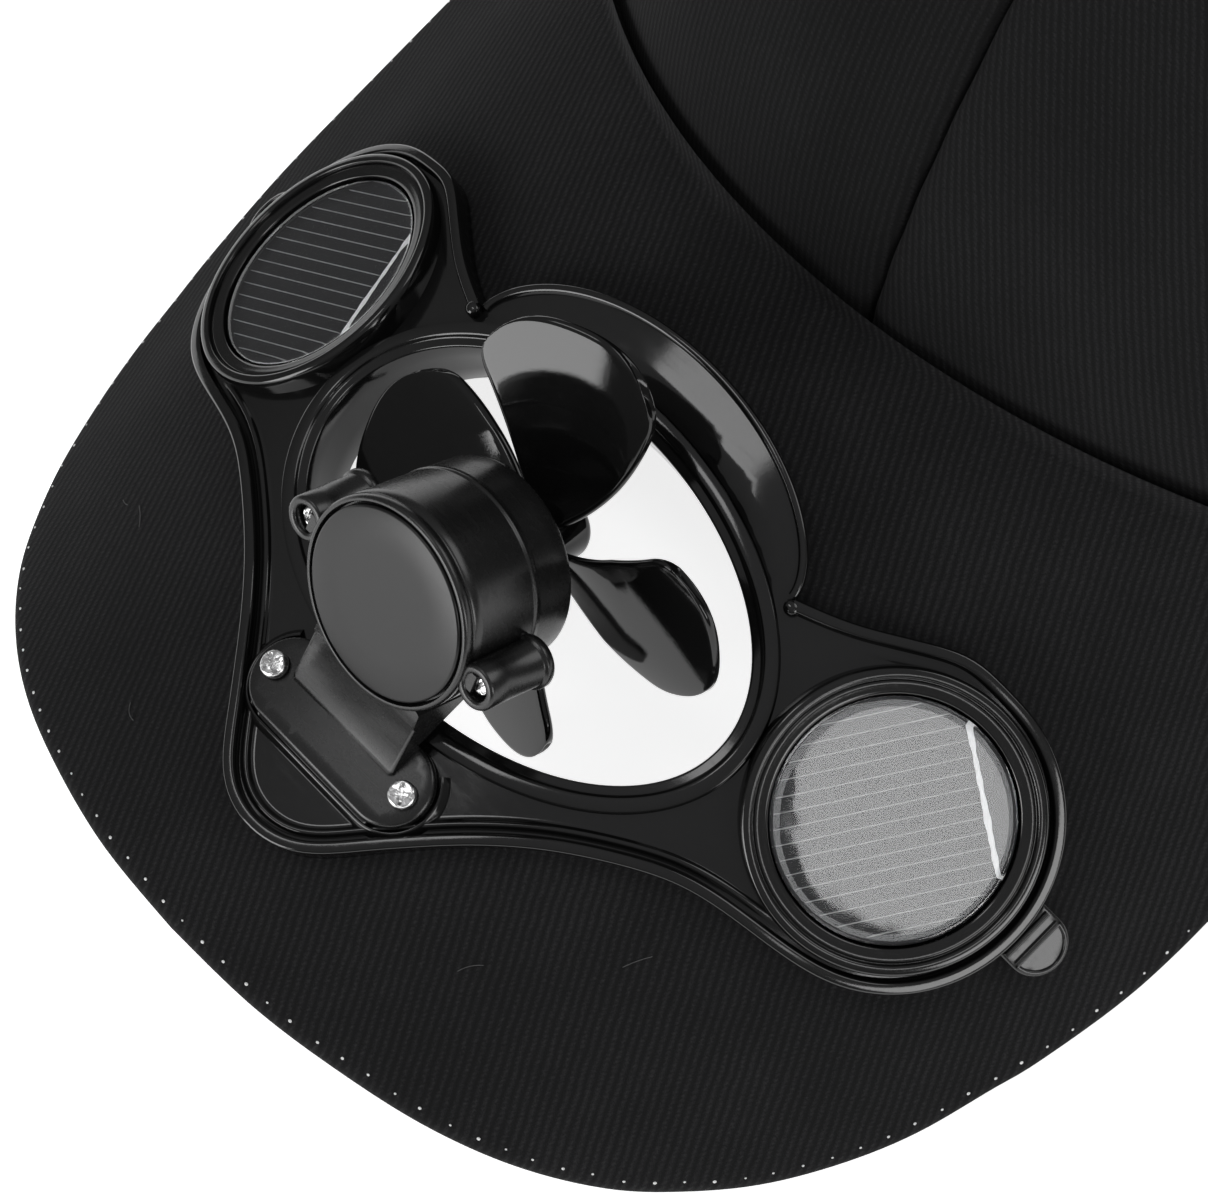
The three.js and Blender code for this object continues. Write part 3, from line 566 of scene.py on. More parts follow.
peak_front = catmull([(a * PEAK_HALF, b * PEAK_REACH) for a, b in PEAK_EDGE], 12)
crown_front = turn_x(on_peak(0, -PEAK_TO_CROWN, 0), PITCH)
CROWN_MID = crown_front[1] + GAP + CROWN_L
CROWN_TOP = crown_front[2] - PEAK_THICK + CROWN_H
peak_corner = turn_x(on_peak(PEAK_HALF, crown_side_ahead(PEAK_HALF), 0), PITCH)
FLOOR = turn_x(on_peak(peak_front[:, 0], peak_front[:, 1], -PEAK_THICK), PITCH)[:, 2].min()


def rim_up(x, y):
    reach = np.minimum(np.abs(x), abs(peak_corner[0]))
    angle = np.arcsin(np.minimum(reach / PEAK_R, 1))
    bent_end = PEAK_R * math.sin(PEAK_BENT / PEAK_R)
    across = np.minimum(angle * PEAK_R, PEAK_BENT)
    across = across + np.maximum(reach - bent_end, 0) / math.cos(PEAK_BENT / PEAK_R)
    front = turn_x(on_peak(across, crown_side_ahead(across), 0), PITCH)[..., 2] - PEAK_THICK
    start = peak_corner[2] - PEAK_THICK
    share = (y - peak_corner[1]) / (CROWN_MID + CROWN_L - peak_corner[1])
    back = start + (FLOOR - start) * np.clip(share / FLAT_RIM, 0, 1)
    return np.where(y < peak_corner[1], front, back)


def crown_point(turn, climb, tip=CROWN_TIP):
    front = ((1 + np.cos(turn)) / 2) ** 2
    lean = LEAN_BACK + (LEAN_FRONT - LEAN_BACK) * front
    angle = climb * np.arccos((tip / CROWN_W) ** (lean / 2))
    spread, rise = np.cos(angle) ** (2 / lean), np.sin(angle) ** (2 / lean)
    x, y = CROWN_W * np.sin(turn), CROWN_MID - CROWN_L * np.cos(turn)
    rim = rim_up(x, y)
    return np.stack([x * spread, CROWN_MID + (y - CROWN_MID) * spread, rim + (CROWN_TOP - rim) * rise], -1)


def crown_normal(turn, climb):
    e = .003
    along = crown_point(turn, np.minimum(climb + e, 1)) - crown_point(turn, np.maximum(climb - e, 0))
    around = crown_point(turn + e, climb) - crown_point(turn - e, climb)
    n = np.cross(around, along)
    n /= np.linalg.norm(n, axis=-1, keepdims=True) + 1e-9
    flat = n.copy()
    flat[..., 2] = 0
    flat /= np.linalg.norm(flat, axis=-1, keepdims=True) + 1e-9
    low = np.clip(1 - climb / .03, 0, 1)[..., None]
    n = n * (1 - low) + flat * low
    return n / (np.linalg.norm(n, axis=-1, keepdims=True) + 1e-9)


def crown_panel(index):
    """A curved panel of cloth: its seam edges roll in, and its middle waves a little."""
    width = math.pi / 3
    start = CROWN_TURN + index * width
    u = np.r_[0, .003, .008, .016, .03, np.linspace(.05, .95, 37), .97, .984, .992, .997, 1]
    w = np.r_[0, .004, .01, .02, np.linspace(.035, 1, 56)]
    uu, ww = np.meshgrid(u, w, indexing="ij")
    middle = crown_point(np.full_like(ww, start + width / 2), ww)
    size = np.linalg.norm(middle[..., :2] - (0, CROWN_MID), axis=-1)
    seam = np.minimum(GAP / 2 / size, .12)
    turn = start + seam + (width - 2 * seam) * uu
    outer, n = crown_point(turn, ww), crown_normal(turn, ww)
    edge = np.minimum(uu, 1 - uu) * width * size
    roll = .9 * (1 - np.clip(edge / 1.5, 0, 1)) ** 2 * np.clip(.2 + ww / .05, 0, 1)
    puff = .45 * np.exp(-((edge - 4) / 2.6) ** 2)
    away = np.clip(edge / 14, 0, 1)
    away = away * np.clip((ww - .05) / .15, 0, 1) * np.clip((.96 - ww) / .2, 0, 1)
    k = index * 1.7
    wave = (np.sin(turn * 11 + ww * 5 + k) * .5 + np.sin(turn * 5 - ww * 9 + 2 * k) * .6
            + np.sin(turn * 19 + ww * 13 + 3 * k) * .25)
    pucker = .12 * np.sin(ww * 95 + k) * np.exp(-(edge / 3.2) ** 2)
    lift = (wave * .55 * away + (puff + pucker) * np.clip(ww / .1, 0, 1)) - roll
    rim = .3 * (1 - np.clip(ww / .012, 0, 1)) ** 2
    top = outer + n * (lift - rim)[..., None]
    # The undersides of neighbours meet, so that no light comes through the seams
    turn = start + width * uu
    depth = (CROWN_WALL - rim + .35 * roll)[..., None]
    under = crown_point(turn, ww, UNDER_TIP) - crown_normal(turn, ww) * depth
    b = Build()
    run = np.linalg.norm(np.diff(outer, axis=1), axis=-1)
    rise = np.concatenate([np.zeros((len(u), 1)), np.cumsum(run, axis=1)], axis=1)
    uv = np.stack([(uu - .5) * width * size, rise], -1) / MM_PER_UV
    b.grid(from_hat(top), uv=uv)
    b.grid(from_hat(under), flip=True, uv=uv)
    for side in (np.s_[0], np.s_[-1], np.s_[:, 0], np.s_[:, -1]):
        b.grid(from_hat(np.stack([top[side], under[side]], 1)), uv=np.stack([uv[side]] * 2, 1))
    cloth = CLOTH_SIDE if index == 5 else CLOTH_CROWN
    piece = b.object(f"crown_cloth_{index + 1}", [cloth], sharp=60)
    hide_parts(f"crown_panel_{index + 1}")


for index in range(6):
    crown_panel(index)


# Peak cloth over its stiff board, with a rounded edge
def make_peak():
    edge = even(np.vstack([mirrored(peak_front)[:-1], peak_front]), 1.3)
    inner = inset(edge, PEAK_ROUND)
    back = np.linspace(inner[-1, 0], inner[0, 0], 130)
    back = np.stack([back, crown_side_ahead(back)], -1)
    hole = ellipse(HOLE_WALL + GAP)
    b = Build()

    def cloth_up(x, v):
        wave = np.sin(x * .11 + v * .05) + .7 * np.sin(x * .19 - v * .16 + 1)
        return .06 * wave * np.clip((nearest(np.c_[x, v], inner) - 2) / 8, 0, 1)

    sheet(b, np.vstack([inner, back[1:-1]]), [hole], 1.7, cloth_up, peak_place)
    sheet(b, np.vstack([inner, back[1:-1]]), [hole], 2.6, -PEAK_THICK, peak_place)
    upper = [(PEAK_ROUND, 0), (.8, -.1), (.4, -.32), (.12, -.7), (0, -1.2)]
    p = np.array(upper + [(0, -1.8), (.12, -2.3), (.4, -2.68), (.8, -2.9), (PEAK_ROUND, -PEAK_THICK)])
    side = inset(edge, 1.0) - edge
    at = swept(edge, p)
    at[0, :, 0], at[-1, :, 0] = at[0, -1, 0], at[-1, -1, 0]
    run = np.r_[0, np.cumsum(np.linalg.norm(np.diff(edge, axis=0), axis=1))]
    uv = np.stack([at[..., 0], at[..., 1] - np.abs(p[None, :, 1])], -1) / MM_PER_UV
    b.grid(peak_place(at[..., 0], at[..., 1], np.broadcast_to(p[None, :, 1], at.shape[:2])), uv=uv)
    for loop, closed in ((hole, True), (back, False)):
        rows = [peak_place(loop[:, 0], loop[:, 1], u) for u in (0, -PEAK_THICK / 2, -PEAK_THICK)]
        b.grid(np.stack(rows, 1), close_u=closed, uv=np.stack([loop] * 3, 1) / MM_PER_UV)
    # The cloth curves up a little where it meets the crown
    turn_up = [(1.6, .004), (1.1, .05), (.7, .18), (.38, .42), (.14, .8), (-.1, 1.3), (-.5, 1.75)]
    rows = [peak_place(back[:, 0], back[:, 1] + d, u) for d, u in turn_up]
    shift = [np.c_[back[:, 0], back[:, 1] + d - u] for d, u in turn_up]
    b.grid(np.stack(rows, 1), uv=np.stack(shift, 1) / MM_PER_UV)
    # Stitches along the edge show as tiny light dots of thread
    count = int(run[-1] / STITCH)
    for i in range(6, count - 5):
        x = np.interp(i * STITCH + rng.uniform(-.25, .25), run, edge[:, 0])
        v = np.interp(i * STITCH, run, edge[:, 1])
        j = min(int(np.searchsorted(run, i * STITCH)), len(edge) - 1)
        q = np.array([x, v]) + side[j] * (1.35 + rng.uniform(-.1, .1))
        size = rng.uniform(.1, .17)
        along = np.array([-side[j][1], side[j][0]])
        ring = [q + size * (1.3 * math.cos(k) * along + math.sin(k) * side[j]) for k in turns(10)]
        low = [peak_place(r[0], r[1], -.02) for r in ring]
        high = [peak_place(*(q + (r - q) * .6), .09) for r in ring]
        walls = [[k, (k + 1) % 10, 10 + (k + 1) % 10, 10 + k] for k in range(10)]
        b.add(np.array(low + high), walls + [list(range(10, 20))], 1)
    piece = b.object("peak_cloth", [CLOTH_PEAK, THREAD], sharp=60)
    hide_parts("peak")


make_peak()


# Frame outline, from the left notch round the front to the right one
wing = arc(CELL_X, -CELL_BACK, WING_R, 82 * DEG, -96 * DEG, 60)
controls = ([(a * CELL_X, b * NOSE) for a, b in FRAME_FRONT] + [tuple(p) for p in wing[::6]]
            + [(a * CELL_X, -b * HOLE_B) for a, b in FRAME_BACK])
EDGE_STEP = .9
frame_edge = even(catmull(np.vstack([mirrored(controls)[:-1], controls]), 10), EDGE_STEP)
for _ in range(8):
    frame_edge[1:-1] = frame_edge[1:-1] * .5 + (frame_edge[:-2] + frame_edge[2:]) * .25
NOTCH_X, NOTCH_V = FRAME_BACK[-1][0] * CELL_X, -FRAME_BACK[-1][1] * HOLE_B


def hood_line(reach):
    a = np.linspace(0, -math.pi, 91)
    ahead = NOTCH_V - np.abs(np.sin(a)) ** HOOD_SHOULDER * (reach + NOTCH_V)
    return np.stack([np.cos(a) * NOTCH_X, ahead], -1)


def hood_share(across):
    return np.sqrt(np.clip(1 - (across / NOTCH_X) ** 2, 0, 1))


def frame_up(across, ahead):
    """Height of the frame's top: flat, but raised behind the hole, where the hood is."""
    share = hood_share(across)
    wide, long = HOLE_A + HOLE_WALL + HOLE_RIM, HOLE_B + HOLE_WALL + HOLE_RIM
    front = -long * np.sqrt(np.clip(1 - (across / wide) ** 2, 0, 1))
    back = NOTCH_V - share ** HOOD_SHOULDER * (HOOD_REACH - .9 + NOTCH_V)
    part = np.clip((front - ahead) / np.maximum(front - back, .5), 0, 1)
    inner = (np.abs(across) < NOTCH_X) & (ahead < 0)
    return TOP + np.where(inner, HOOD_RISE * share * np.clip(part / HOOD_RAMP, 0, 1) ** HOOD_CURVE, 0)


def make_frame():
    b = Build()
    bead = [(.06, LOW), (0, LOW + .06), (0, 2.85), (.1, 3.08), (.32, 3.2), (.62, 3.13), (.92, 3.2),
            (1.16, 3.1), (1.3, 2.85), (1.32, 2.2), (1.42, TOP)]
    band(b, frame_edge, bead, peak_place, ends=True)
    # A second ridge inside the bead fades out round the cups and towards the notches
    from_cup = np.hypot(np.abs(frame_edge[:, 0]) - CELL_X, frame_edge[:, 1] + CELL_BACK)
    order = np.arange(len(frame_edge))
    from_end = np.minimum(order, order[::-1]) * EDGE_STEP
    weight = np.clip((from_cup - 17.2) / 4, 0, 1) * np.clip((from_end - 7) / 6, 0, 1)
    ridge = np.array([(1.42, 0), (1.75, 0), (1.85, .1), (1.92, .38), (2.1, .55), (2.35, .55), (2.55, .35),
                      (2.64, .1), (2.75, 0), (3.1, 0)])
    at = swept(frame_edge, ridge)
    b.grid(peak_place(at[..., 0], at[..., 1], TOP + ridge[None, :, 1] * weight[:, None]))
    hood = hood_line(HOOD_REACH)
    outer = np.vstack([inset(frame_edge, 3.1), hood])
    a = turns(72)
    cups = [np.stack([s * CELL_X + CUP_HOLE * np.cos(a), -CELL_BACK + CUP_HOLE * np.sin(a)], -1)
            for s in (1, -1)]
    sheet(b, outer, [ellipse(2.85), *cups], 1.5, frame_up, peak_place)
    sheet(b, np.vstack([inset(frame_edge, .06), hood]), [ellipse(HOLE_WALL)], 3, LOW, peak_place)
    # Wall of the fan hole with its stepped rim: distance outside the hole, height
    ring = [(HOLE_WALL, LOW), (HOLE_WALL, -4.1), (.95, -4.35), (.55, -HOLE_DEPTH), (.15, -4.35), (0, -4.1),
            (0, -2), (0, .5), (0, 2.4), (.08, 2.62), (.25, 2.7), (.85, 2.7), (1.02, 2.78), (1.1, 2.95),
            (1.2, 3.2), (1.45, 3.3), (1.9, 3.24), (2.35, 3.3), (2.62, 3.2), (2.7, 2.95), (2.72, 2.2),
            (2.85, TOP)]
    rows = [peak_place(*np.moveaxis(ellipse(g), 1, 0), u) for g, u in ring]
    b.grid(np.stack(rows, 1), close_u=True)
    # Raised edge of the hood
    base = HOOD_RISE * hood_share(hood[:, 0])
    lip = [(.04, LOW), (0, LOW + .3), (0, TOP + .38), (.1, TOP + .55), (.3, TOP + .62), (.6, TOP + .6),
           (.8, TOP + .5), (.88, TOP + .3), (.95, TOP - .1)]
    lift = base[:, None] * np.array([0, .1, 1, 1, 1, 1, 1, 1, 1])[None]
    at = swept(hood, lip)
    b.grid(peak_place(at[..., 0], at[..., 1], np.array(lip)[None, :, 1] + lift))
    # Small blobs where the two edges meet
    blob = [(.85, LOW), (.85, 2.75), (.75, 3.05), (.5, 3.22), (.25, 3.3), (0, 3.32)]
    a = turns(24)
    for s in (1, -1):
        middle = s * (NOTCH_X + .35)
        rows = [peak_place(middle + r * np.cos(a), NOTCH_V + .9 + r * np.sin(a) * .95, u) for r, u in blob]
        b.grid(np.stack(rows, 1), close_u=True)
    # Lip round the front of the bracket
    right = arc(PLATE_HALF - PLATE_ROUND, PLATE_AHEAD, PLATE_ROUND + GAP + .9, -50 * DEG, 90 * DEG, 40)
    path = even(np.vstack([right, mirrored(right)])[::-1], .5)
    step = [(-.1, TOP - .1), (-.02, 2.06), (.1, 2.18), (.52, 2.62), (.64, 2.72), (.76, 2.74), (.86, 2.68),
            (.9, 2.55), (.9, TOP - .1)]
    band(b, path, step, peak_place, ends=True)
    piece = b.object("frame_shell", [GLOSS], sharp=50)
    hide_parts("module_frame")
    # Cups: floor, well, stepped bezel, broad outer ring, outside, underside
    profile = [(0, .9), (12.35, .9), (12.5, 1.05), (12.5, 2.6), (12.44, 2.8), (12.5, 2.94), (12.66, 3.02),
               (12.85, 3.03), (13.3, 3.08), (13.66, 3.14), (13.82, 3.1), (13.9, 2.98), (13.97, 2.98),
               (14.03, 3.2), (14.06, 3.45), (14.14, 3.56), (14.3, 3.58), (14.8, 3.58), (14.98, 3.5),
               (15.14, 3.2), (15.2, 2.6), (15.2, .45), (15.1, .4), (0, .4)]
    for s, name in ((1, "left"), (-1, "right")):
        cup = Build()
        cup.grid(at_cell(s)(lathe_points(profile, 144)), close_u=True)
        ring_piece = cup.object(f"cup_{name}", [GLOSS], sharp=50)
        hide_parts("module_frame")


make_frame()


# Cells with their printed lines, under clear windows
def line_on(build, start, end, width, place, slot, lumps=0.0, steps=16):
    """A low printed line on the cell, its width uneven by lumps."""
    w = np.linspace(0, 1, steps)
    mid = np.outer(1 - w, start) + np.outer(w, end)
    run = np.array(end) - np.array(start)
    run = run / np.linalg.norm(run)
    n = np.array([-run[1], run[0]])
    uneven = np.sin(w * 23) * .3 + np.sin(w * 51 + 1) * .25 + np.sin(w * 9 + 2) * .3
    half = width / 2 * (1 + lumps * uneven)
    half[0] *= .5
    half[-1] *= .5
    rows = []
    for f, h in ((-1, 0), (-.8, .05), (0, .07), (.8, .05), (1, 0)):
        q = mid + n * (half * f)[:, None]
        rows.append(np.c_[q, np.full(steps, CELL_TOP + h)])
    build.grid(place(np.stack(rows, 1)), slot)


def make_cell(side, name, facing):
    """Fingers run towards the facing angle, up to a busbar that crosses them near the edge."""
    place = at_cell(side)
    b = Build()
    wafer = ([(r, CELL_TOP) for r in (0, 4, 8, 11.8, 12.12)]
             + [(12.2, 1.52), (12.2, 1.28), (12.12, 1.2), (0, 1.2)])
    b.grid(place(lathe_points(wafer, 120)), close_u=True)
    n = np.array([math.cos(facing), math.sin(facing)])
    t = np.array([n[1], -n[0]])
    ends = n * BUSBAR_AT - t * BUSBAR_HALF, n * BUSBAR_AT + t * BUSBAR_HALF
    line_on(b, *ends, .55, place, 1, lumps=.45, steps=70)
    for i in range(-7, 8):
        off = i * FINGER_STEP + rng.uniform(-.08, .08)
        reach = math.sqrt(FINGER_REACH ** 2 - off ** 2)
        line_on(b, t * off - n * reach, t * off + n * min(BUSBAR_AT, reach), .13, place, 2)
    piece = b.object(f"cell_{name}", [CELL, BUSBAR, FINGER], sharp=50)
    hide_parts(f"solar_cell_{name}")
    g = Build()
    face = [(r, 2.7) for r in np.linspace(0, 11.9, 18)]
    back = [(12.1, 2.66), (12.2, 2.55), (12.2, 2.0)] + [(r, 1.9) for r in (12.1, 11.8, 8, 4, 0)]
    g.grid(place(lathe_points(face + back, 120)), close_u=True)
    glass = g.object(f"window_{name}", [WINDOW], sharp=50)
    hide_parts(f"cell_window_{name}")


make_cell(1, "left", 56.1 * DEG)
make_cell(-1, "right", 16.9 * DEG)


# Tabs at the ends of the wings
def make_tab(side, name):
    reach = WING_R + GAP
    v = np.linspace(-TAB_BACK + TAB_HALF, -TAB_BACK - TAB_HALF, 14)
    inner = np.stack([CELL_X + np.sqrt(reach ** 2 - (v + CELL_BACK) ** 2), v], -1)
    end = CELL_X + reach + TAB_REACH - TAB_HALF
    half_round = arc(end, -TAB_BACK, TAB_HALF, -90 * DEG, 90 * DEG, 36)
    loop = np.vstack([inner, half_round])[::-1]
    top = LOW + TAB_THICK
    b = Build()

    def place(x, v, up):
        return peak_place(side * np.asarray(x), v, up)

    edge = [(.08, LOW), (0, LOW + .08), (0, top - .3), (.1, top - .1), (.3, top)]
    band(b, loop, edge, place, closed=True)
    sheet(b, inset(loop, .3, True), [], .8, top, place)
    sheet(b, inset(loop, .08, True), [], 1.5, LOW, place)
    near, far = -TAB_BACK - 2.9, -TAB_BACK + 2.9
    rib = [(0, top - .1), (0, top + .25), (.08, top + .37), (.3, top + .4)]
    for x in (end + .2, end - 1.3):
        bar = np.array([(x - .62, near), (x - .62, far), (x, far), (x, near)])
        band(b, bar, rib, place, closed=True)
    ring = arc(end, -TAB_BACK, TAB_HALF, -88 * DEG, 88 * DEG, 30)[::-1]
    rise = [(.25, -.1), (.25, .16), (.33, .24), (.62, .24), (.7, .16), (.7, -.1)]
    band(b, ring, [(d, top + up) for d, up in rise], place, ends=True)
    piece = b.object(f"tab_{name}", [TAB], sharp=50)
    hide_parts(f"side_tab_{name}")


make_tab(1, "left")
make_tab(-1, "right")


# Motor on its bracket
def under_motor(radius, along):
    """Ahead and up, in the peak's frame, of a spot below the motor's axis."""
    c, s = math.cos(MOTOR_TILT), math.sin(MOTOR_TILT)
    return MOTOR_AHEAD + radius * c + along * s, MOTOR_UP - radius * s + along * c


def make_mount():
    b = Build()
    right = arc(PLATE_HALF - PLATE_ROUND, PLATE_AHEAD, PLATE_ROUND, -90 * DEG, 90 * DEG, 40)
    loop = np.vstack([right, mirrored(right)])[::-1]
    # Short steps along the straight sides, so that the plate follows the bent peak
    long = []
    for p, q in zip(loop, np.roll(loop, -1, 0)):
        steps = max(int(np.linalg.norm(q - p) / .7), 1)
        long += [p + (q - p) * k / steps for k in range(steps)]
    loop = np.array(long)
    low, high = TOP + GAP, TOP + GAP + PLATE_THICK
    edge = [(.1, low), (0, low + .1), (0, high - .4), (.12, high - .12), (.4, high)]
    band(b, loop, edge, peak_place, closed=True)
    a = -turns(36)
    wells = [np.stack([s * SCREW_X + 1.1 * np.cos(a), PLATE_AHEAD + 1.1 * np.sin(a)], -1) for s in (1, -1)]
    sheet(b, inset(loop, .4, True), wells, .9, high, peak_place)
    sheet(b, inset(loop, .1, True), wells, 2, low, peak_place)
    for w in wells:
        b.grid(np.stack([peak_place(w[:, 0], w[:, 1], u) for u in (high, low)], 1), close_u=True)

    # Saddle, a wedge up to the underside of the barrel: ahead, up
    def sideways(points):
        return from_peak(np.stack([points[..., 2], -points[..., 0], points[..., 1]], -1))

    rim_ahead = HOLE_B + HOLE_WALL + HOLE_RIM + GAP
    sides = [(rim_ahead, low), (PLATE_AHEAD - .3, low - .3), (PLATE_AHEAD - .3, high - .1),
             (PLATE_AHEAD - .75, high + .3), under_motor(MOTOR_R + .3, -SADDLE_SETBACK - .3),
             under_motor(MOTOR_R - .1, -SADDLE_SETBACK),
             under_motor(MOTOR_R - SADDLE_SINK, -SADDLE_SETBACK),
             under_motor(MOTOR_R - SADDLE_SINK, -SADDLE_RUN), (rim_ahead, 3.6)]
    prism(b, sides, -SADDLE_HALF, SADDLE_HALF, .35, sideways)
    # Barrel: rim round the cap, a fine groove behind it, and a mould line two thirds back
    end = -MOTOR_LEN
    profile = [(10.15, -1), (10.28, -.9), (10.3, -.15), (10.36, -.03), (10.5, 0), (10.7, -.05),
               (10.85, -.2), (MOTOR_R, -.45), (MOTOR_R, -.95), (10.84, -1.05), (10.76, -1.1),
               (10.74, -1.25),
               (10.8, -1.38), (10.88, -1.5), (10.87, -2.4), (10.79, -5), (10.69, -9.4), (10.68, -9.55),
               (10.76, -9.65), (10.78, -9.85), (10.76, -10.05), (10.64, -10.15), (10.61, -10.6),
               (10.55, -13), (10.5, -14.5), (10.4, -14.95), (10.15, end), (6.2, end), (6.1, end + .15),
               (5.9, end + .15), (5.8, end), (3, end), (1.3, end), (1.3, -12.2), (0, -12.2)]
    b.grid(from_motor(lathe_points(profile, 144)), close_u=True)
    b.grid(from_motor(lathe_points([(10.3, -1), (0, -1)], 144)), close_u=True)

    # Screw bosses beside the barrel, with a web to it and a flange at the rear
    top, rear = -BOSS_BACK, -BOSS_BACK - BOSS_LEN
    boss = [(1.38, -2.95), (1.4, -1.2), (1.42, -.75), (1.55, -.55), (1.8, top), (2.05, top), (2.28, -.6),
            (BOSS_R, -.85), (BOSS_R, -3), (2.42, -7.6), (2.5, -7.75), (2.72, -7.85), (2.78, -8.0),
            (2.78, -8.55), (2.66, -8.8), (BOSS_R, rear), (0, rear)]
    web, lug = (12.3, 1.2, rear + .1, top - .25, .25), (12.6, 2.1, rear + .05, -7.9, .2)
    for s in (1, -1):
        for line in (boss, [(1.38, -2.95), (0, -2.95)]):
            b.grid(from_motor(lathe_points(line, 56) + (s * BOSS_X, 0, 0)), close_u=True)
        for reach, half, back, front, bevel in (web, lug):
            near, far = s * 9.9, s * reach
            block = [(near, -half), (far, -half), (far, half), (near, half)]
            prism(b, block, back, front, bevel, from_motor)
    piece = b.object("motor_body", [MOTOR], sharp=50)
    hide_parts("motor_mount")
    cap = Build()
    line = [(0, .1), (3, .1), (6, .1), (9.7, .1), (9.9, .04), (10, -.1), (10, -.6), (9.9, -.7), (0, -.7)]
    cap.grid(from_motor(lathe_points(line, 144)), close_u=True)
    disc = cap.object("motor_disc", [SATIN], sharp=50)
    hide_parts("motor_cap")


make_mount()


def make_screw(name, node_name, radius, height, shank, length, place, turn):
    """A domed head with a cross pressed into it."""
    b = Build()
    dome = np.r_[0, np.linspace(.05, .8, 14)]
    r = np.r_[dome, .86, .92, .96, .99, 1, 1, 1, shank / radius, shank / radius, 0]
    up = height * np.r_[1 - .16 * dome ** 2, .87, .8, .72, .6, .5, .2, 0, 0, 0, 0]
    up[-2:] = -length
    rr, aa = np.meshgrid(r * radius, turns(72), indexing="ij")
    x, y = rr * np.cos(aa), rr * np.sin(aa)
    uu = np.broadcast_to(up[:, None], x.shape).copy()
    cross = np.full(x.shape, 9.0)
    for k in (0, 1):
        t = turn + k * math.pi / 2
        along, off = x * math.cos(t) + y * math.sin(t), -x * math.sin(t) + y * math.cos(t)
        cross = np.minimum(cross, np.maximum(np.abs(off) / .2, np.abs(along) / (.66 * radius)))
    deep = np.clip((1.25 - cross) / .5, 0, 1)
    top = np.arange(len(r)) < 16
    dent = .06 * np.sin(aa * 5 + turn) * (rr / radius) + .05 * np.sin(aa * 3 - rr * 4)
    uu[top] -= (.38 * deep + .35 * dent * (1 - deep) * radius / 1.5)[top]
    points = np.stack([x, y, uu], -1)
    b.grid(place(points), close_v=True)
    piece = b.object(name, [STEEL], sharp=40)
    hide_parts(node_name)


SCREW_SEAT = TOP + GAP + PLATE_THICK + GAP
for s, name, turn in ((1, "left", .6), (-1, "right", 1.1)):
    on_bracket = upright_at(s * SCREW_X, PLATE_AHEAD, SCREW_SEAT)
    make_screw(f"plate_screw_{name}", f"bracket_screw_{name}", 1.45, .95, .8, 2.6, on_bracket, turn)
    make_screw(f"motor_screw_{name}", f"boss_screw_{name}", 1.1, .9, .6, 4.5,
               lambda p, s=s: from_motor(p + (s * BOSS_X, 0, -2.1)), turn + .5)


# Fan: four swept and twisted blades with rounded edges, on a hub
def blade_at(span, part):
    """Turn, radius and rise on a blade, part running from -.5 to .5 across it."""
    rows = np.array(BLADE_SHAPE, float)
    turn, sweep, pitch = (np.interp(span, rows[:, 0], rows[:, k]) * DEG for k in (1, 2, 3))
    corner = 1 - .24 * (1 - np.sqrt(1 - np.clip((span - .82) / .18, 0, 1) ** 2))
    t = part * turn * corner
    tip = BLADE_R * (1 - TIP_ROUND * np.abs(2 * part) ** TIP_POWER)
    radius = BLADE_ROOT + span * (tip - BLADE_ROOT)
    rise = radius * t * np.tan(pitch)
    return t + sweep, radius, rise


def make_rotor():
    b = Build()
    near = np.array([0, .03, .12, .28, .5, .8]) / 14
    span = np.r_[np.linspace(0, .8, 20), np.linspace(.82, .965, 12), .975, .983, .99, .995, .998, .9994, 1]
    part = np.r_[near, np.linspace(near[-1] + .03, 1 - near[-1] - .03, 24), 1 - near[::-1]] - .5
    ss, pp = np.meshgrid(span, part, indexing="ij")
    edge = np.minimum((1 - ss) * 22, (.5 - np.abs(pp)) * 2 * np.maximum(ss * BLADE_R, 3) * 30 * DEG)
    thick = BLADE_THICK / 2 * np.sqrt(np.clip(1 - (1 - np.clip(edge / .55, 0, 1)) ** 2, 0, 1))
    for i in range(4):
        turn, radius, rise = blade_at(ss, pp)
        angle = BLADE_PHASE + i * math.pi / 2 + turn
        for f, flip in ((1, False), (-1, True)):
            pts = np.stack([radius * np.cos(angle), radius * np.sin(angle), ROTOR_Z + rise + f * thick], -1)
            b.grid(from_motor(pts), flip=flip)
    hub = [(1.3, 2.9), (1.3, 3.1), (1.45, 3.2), (3.1, 3.2), (3.3, 3.12), (3.4, 2.9), (3.4, -3.6),
           (3.32, -4.05), (3.1, -4.45), (2.75, -4.8), (2.3, -5), (1.2, -5), (1.1, -4.85), (0, -4.85)]
    bore = [(1.3, 2.95), (1.3, -.2), (0, -.2)]
    for line in (hub, bore):
        b.grid(from_motor(lathe_points(line, 72) + (0, 0, ROTOR_Z)), close_u=True)
    piece = b.object("fan_blades", [BLADE], body="rotor", sharp=50)
    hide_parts("fan_rotor")
    s = Build()
    low, high = ROTOR_Z + .1, -12.5
    line = [(0, low), (.9, low), (1, low + .1), (1, -17), (1, high - .1), (.9, high), (0, high)]
    s.grid(from_motor(lathe_points(line, 48)), close_u=True)
    shaft = s.object("shaft", [STEEL], body="rotor", sharp=40)
    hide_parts("fan_shaft")


make_rotor()


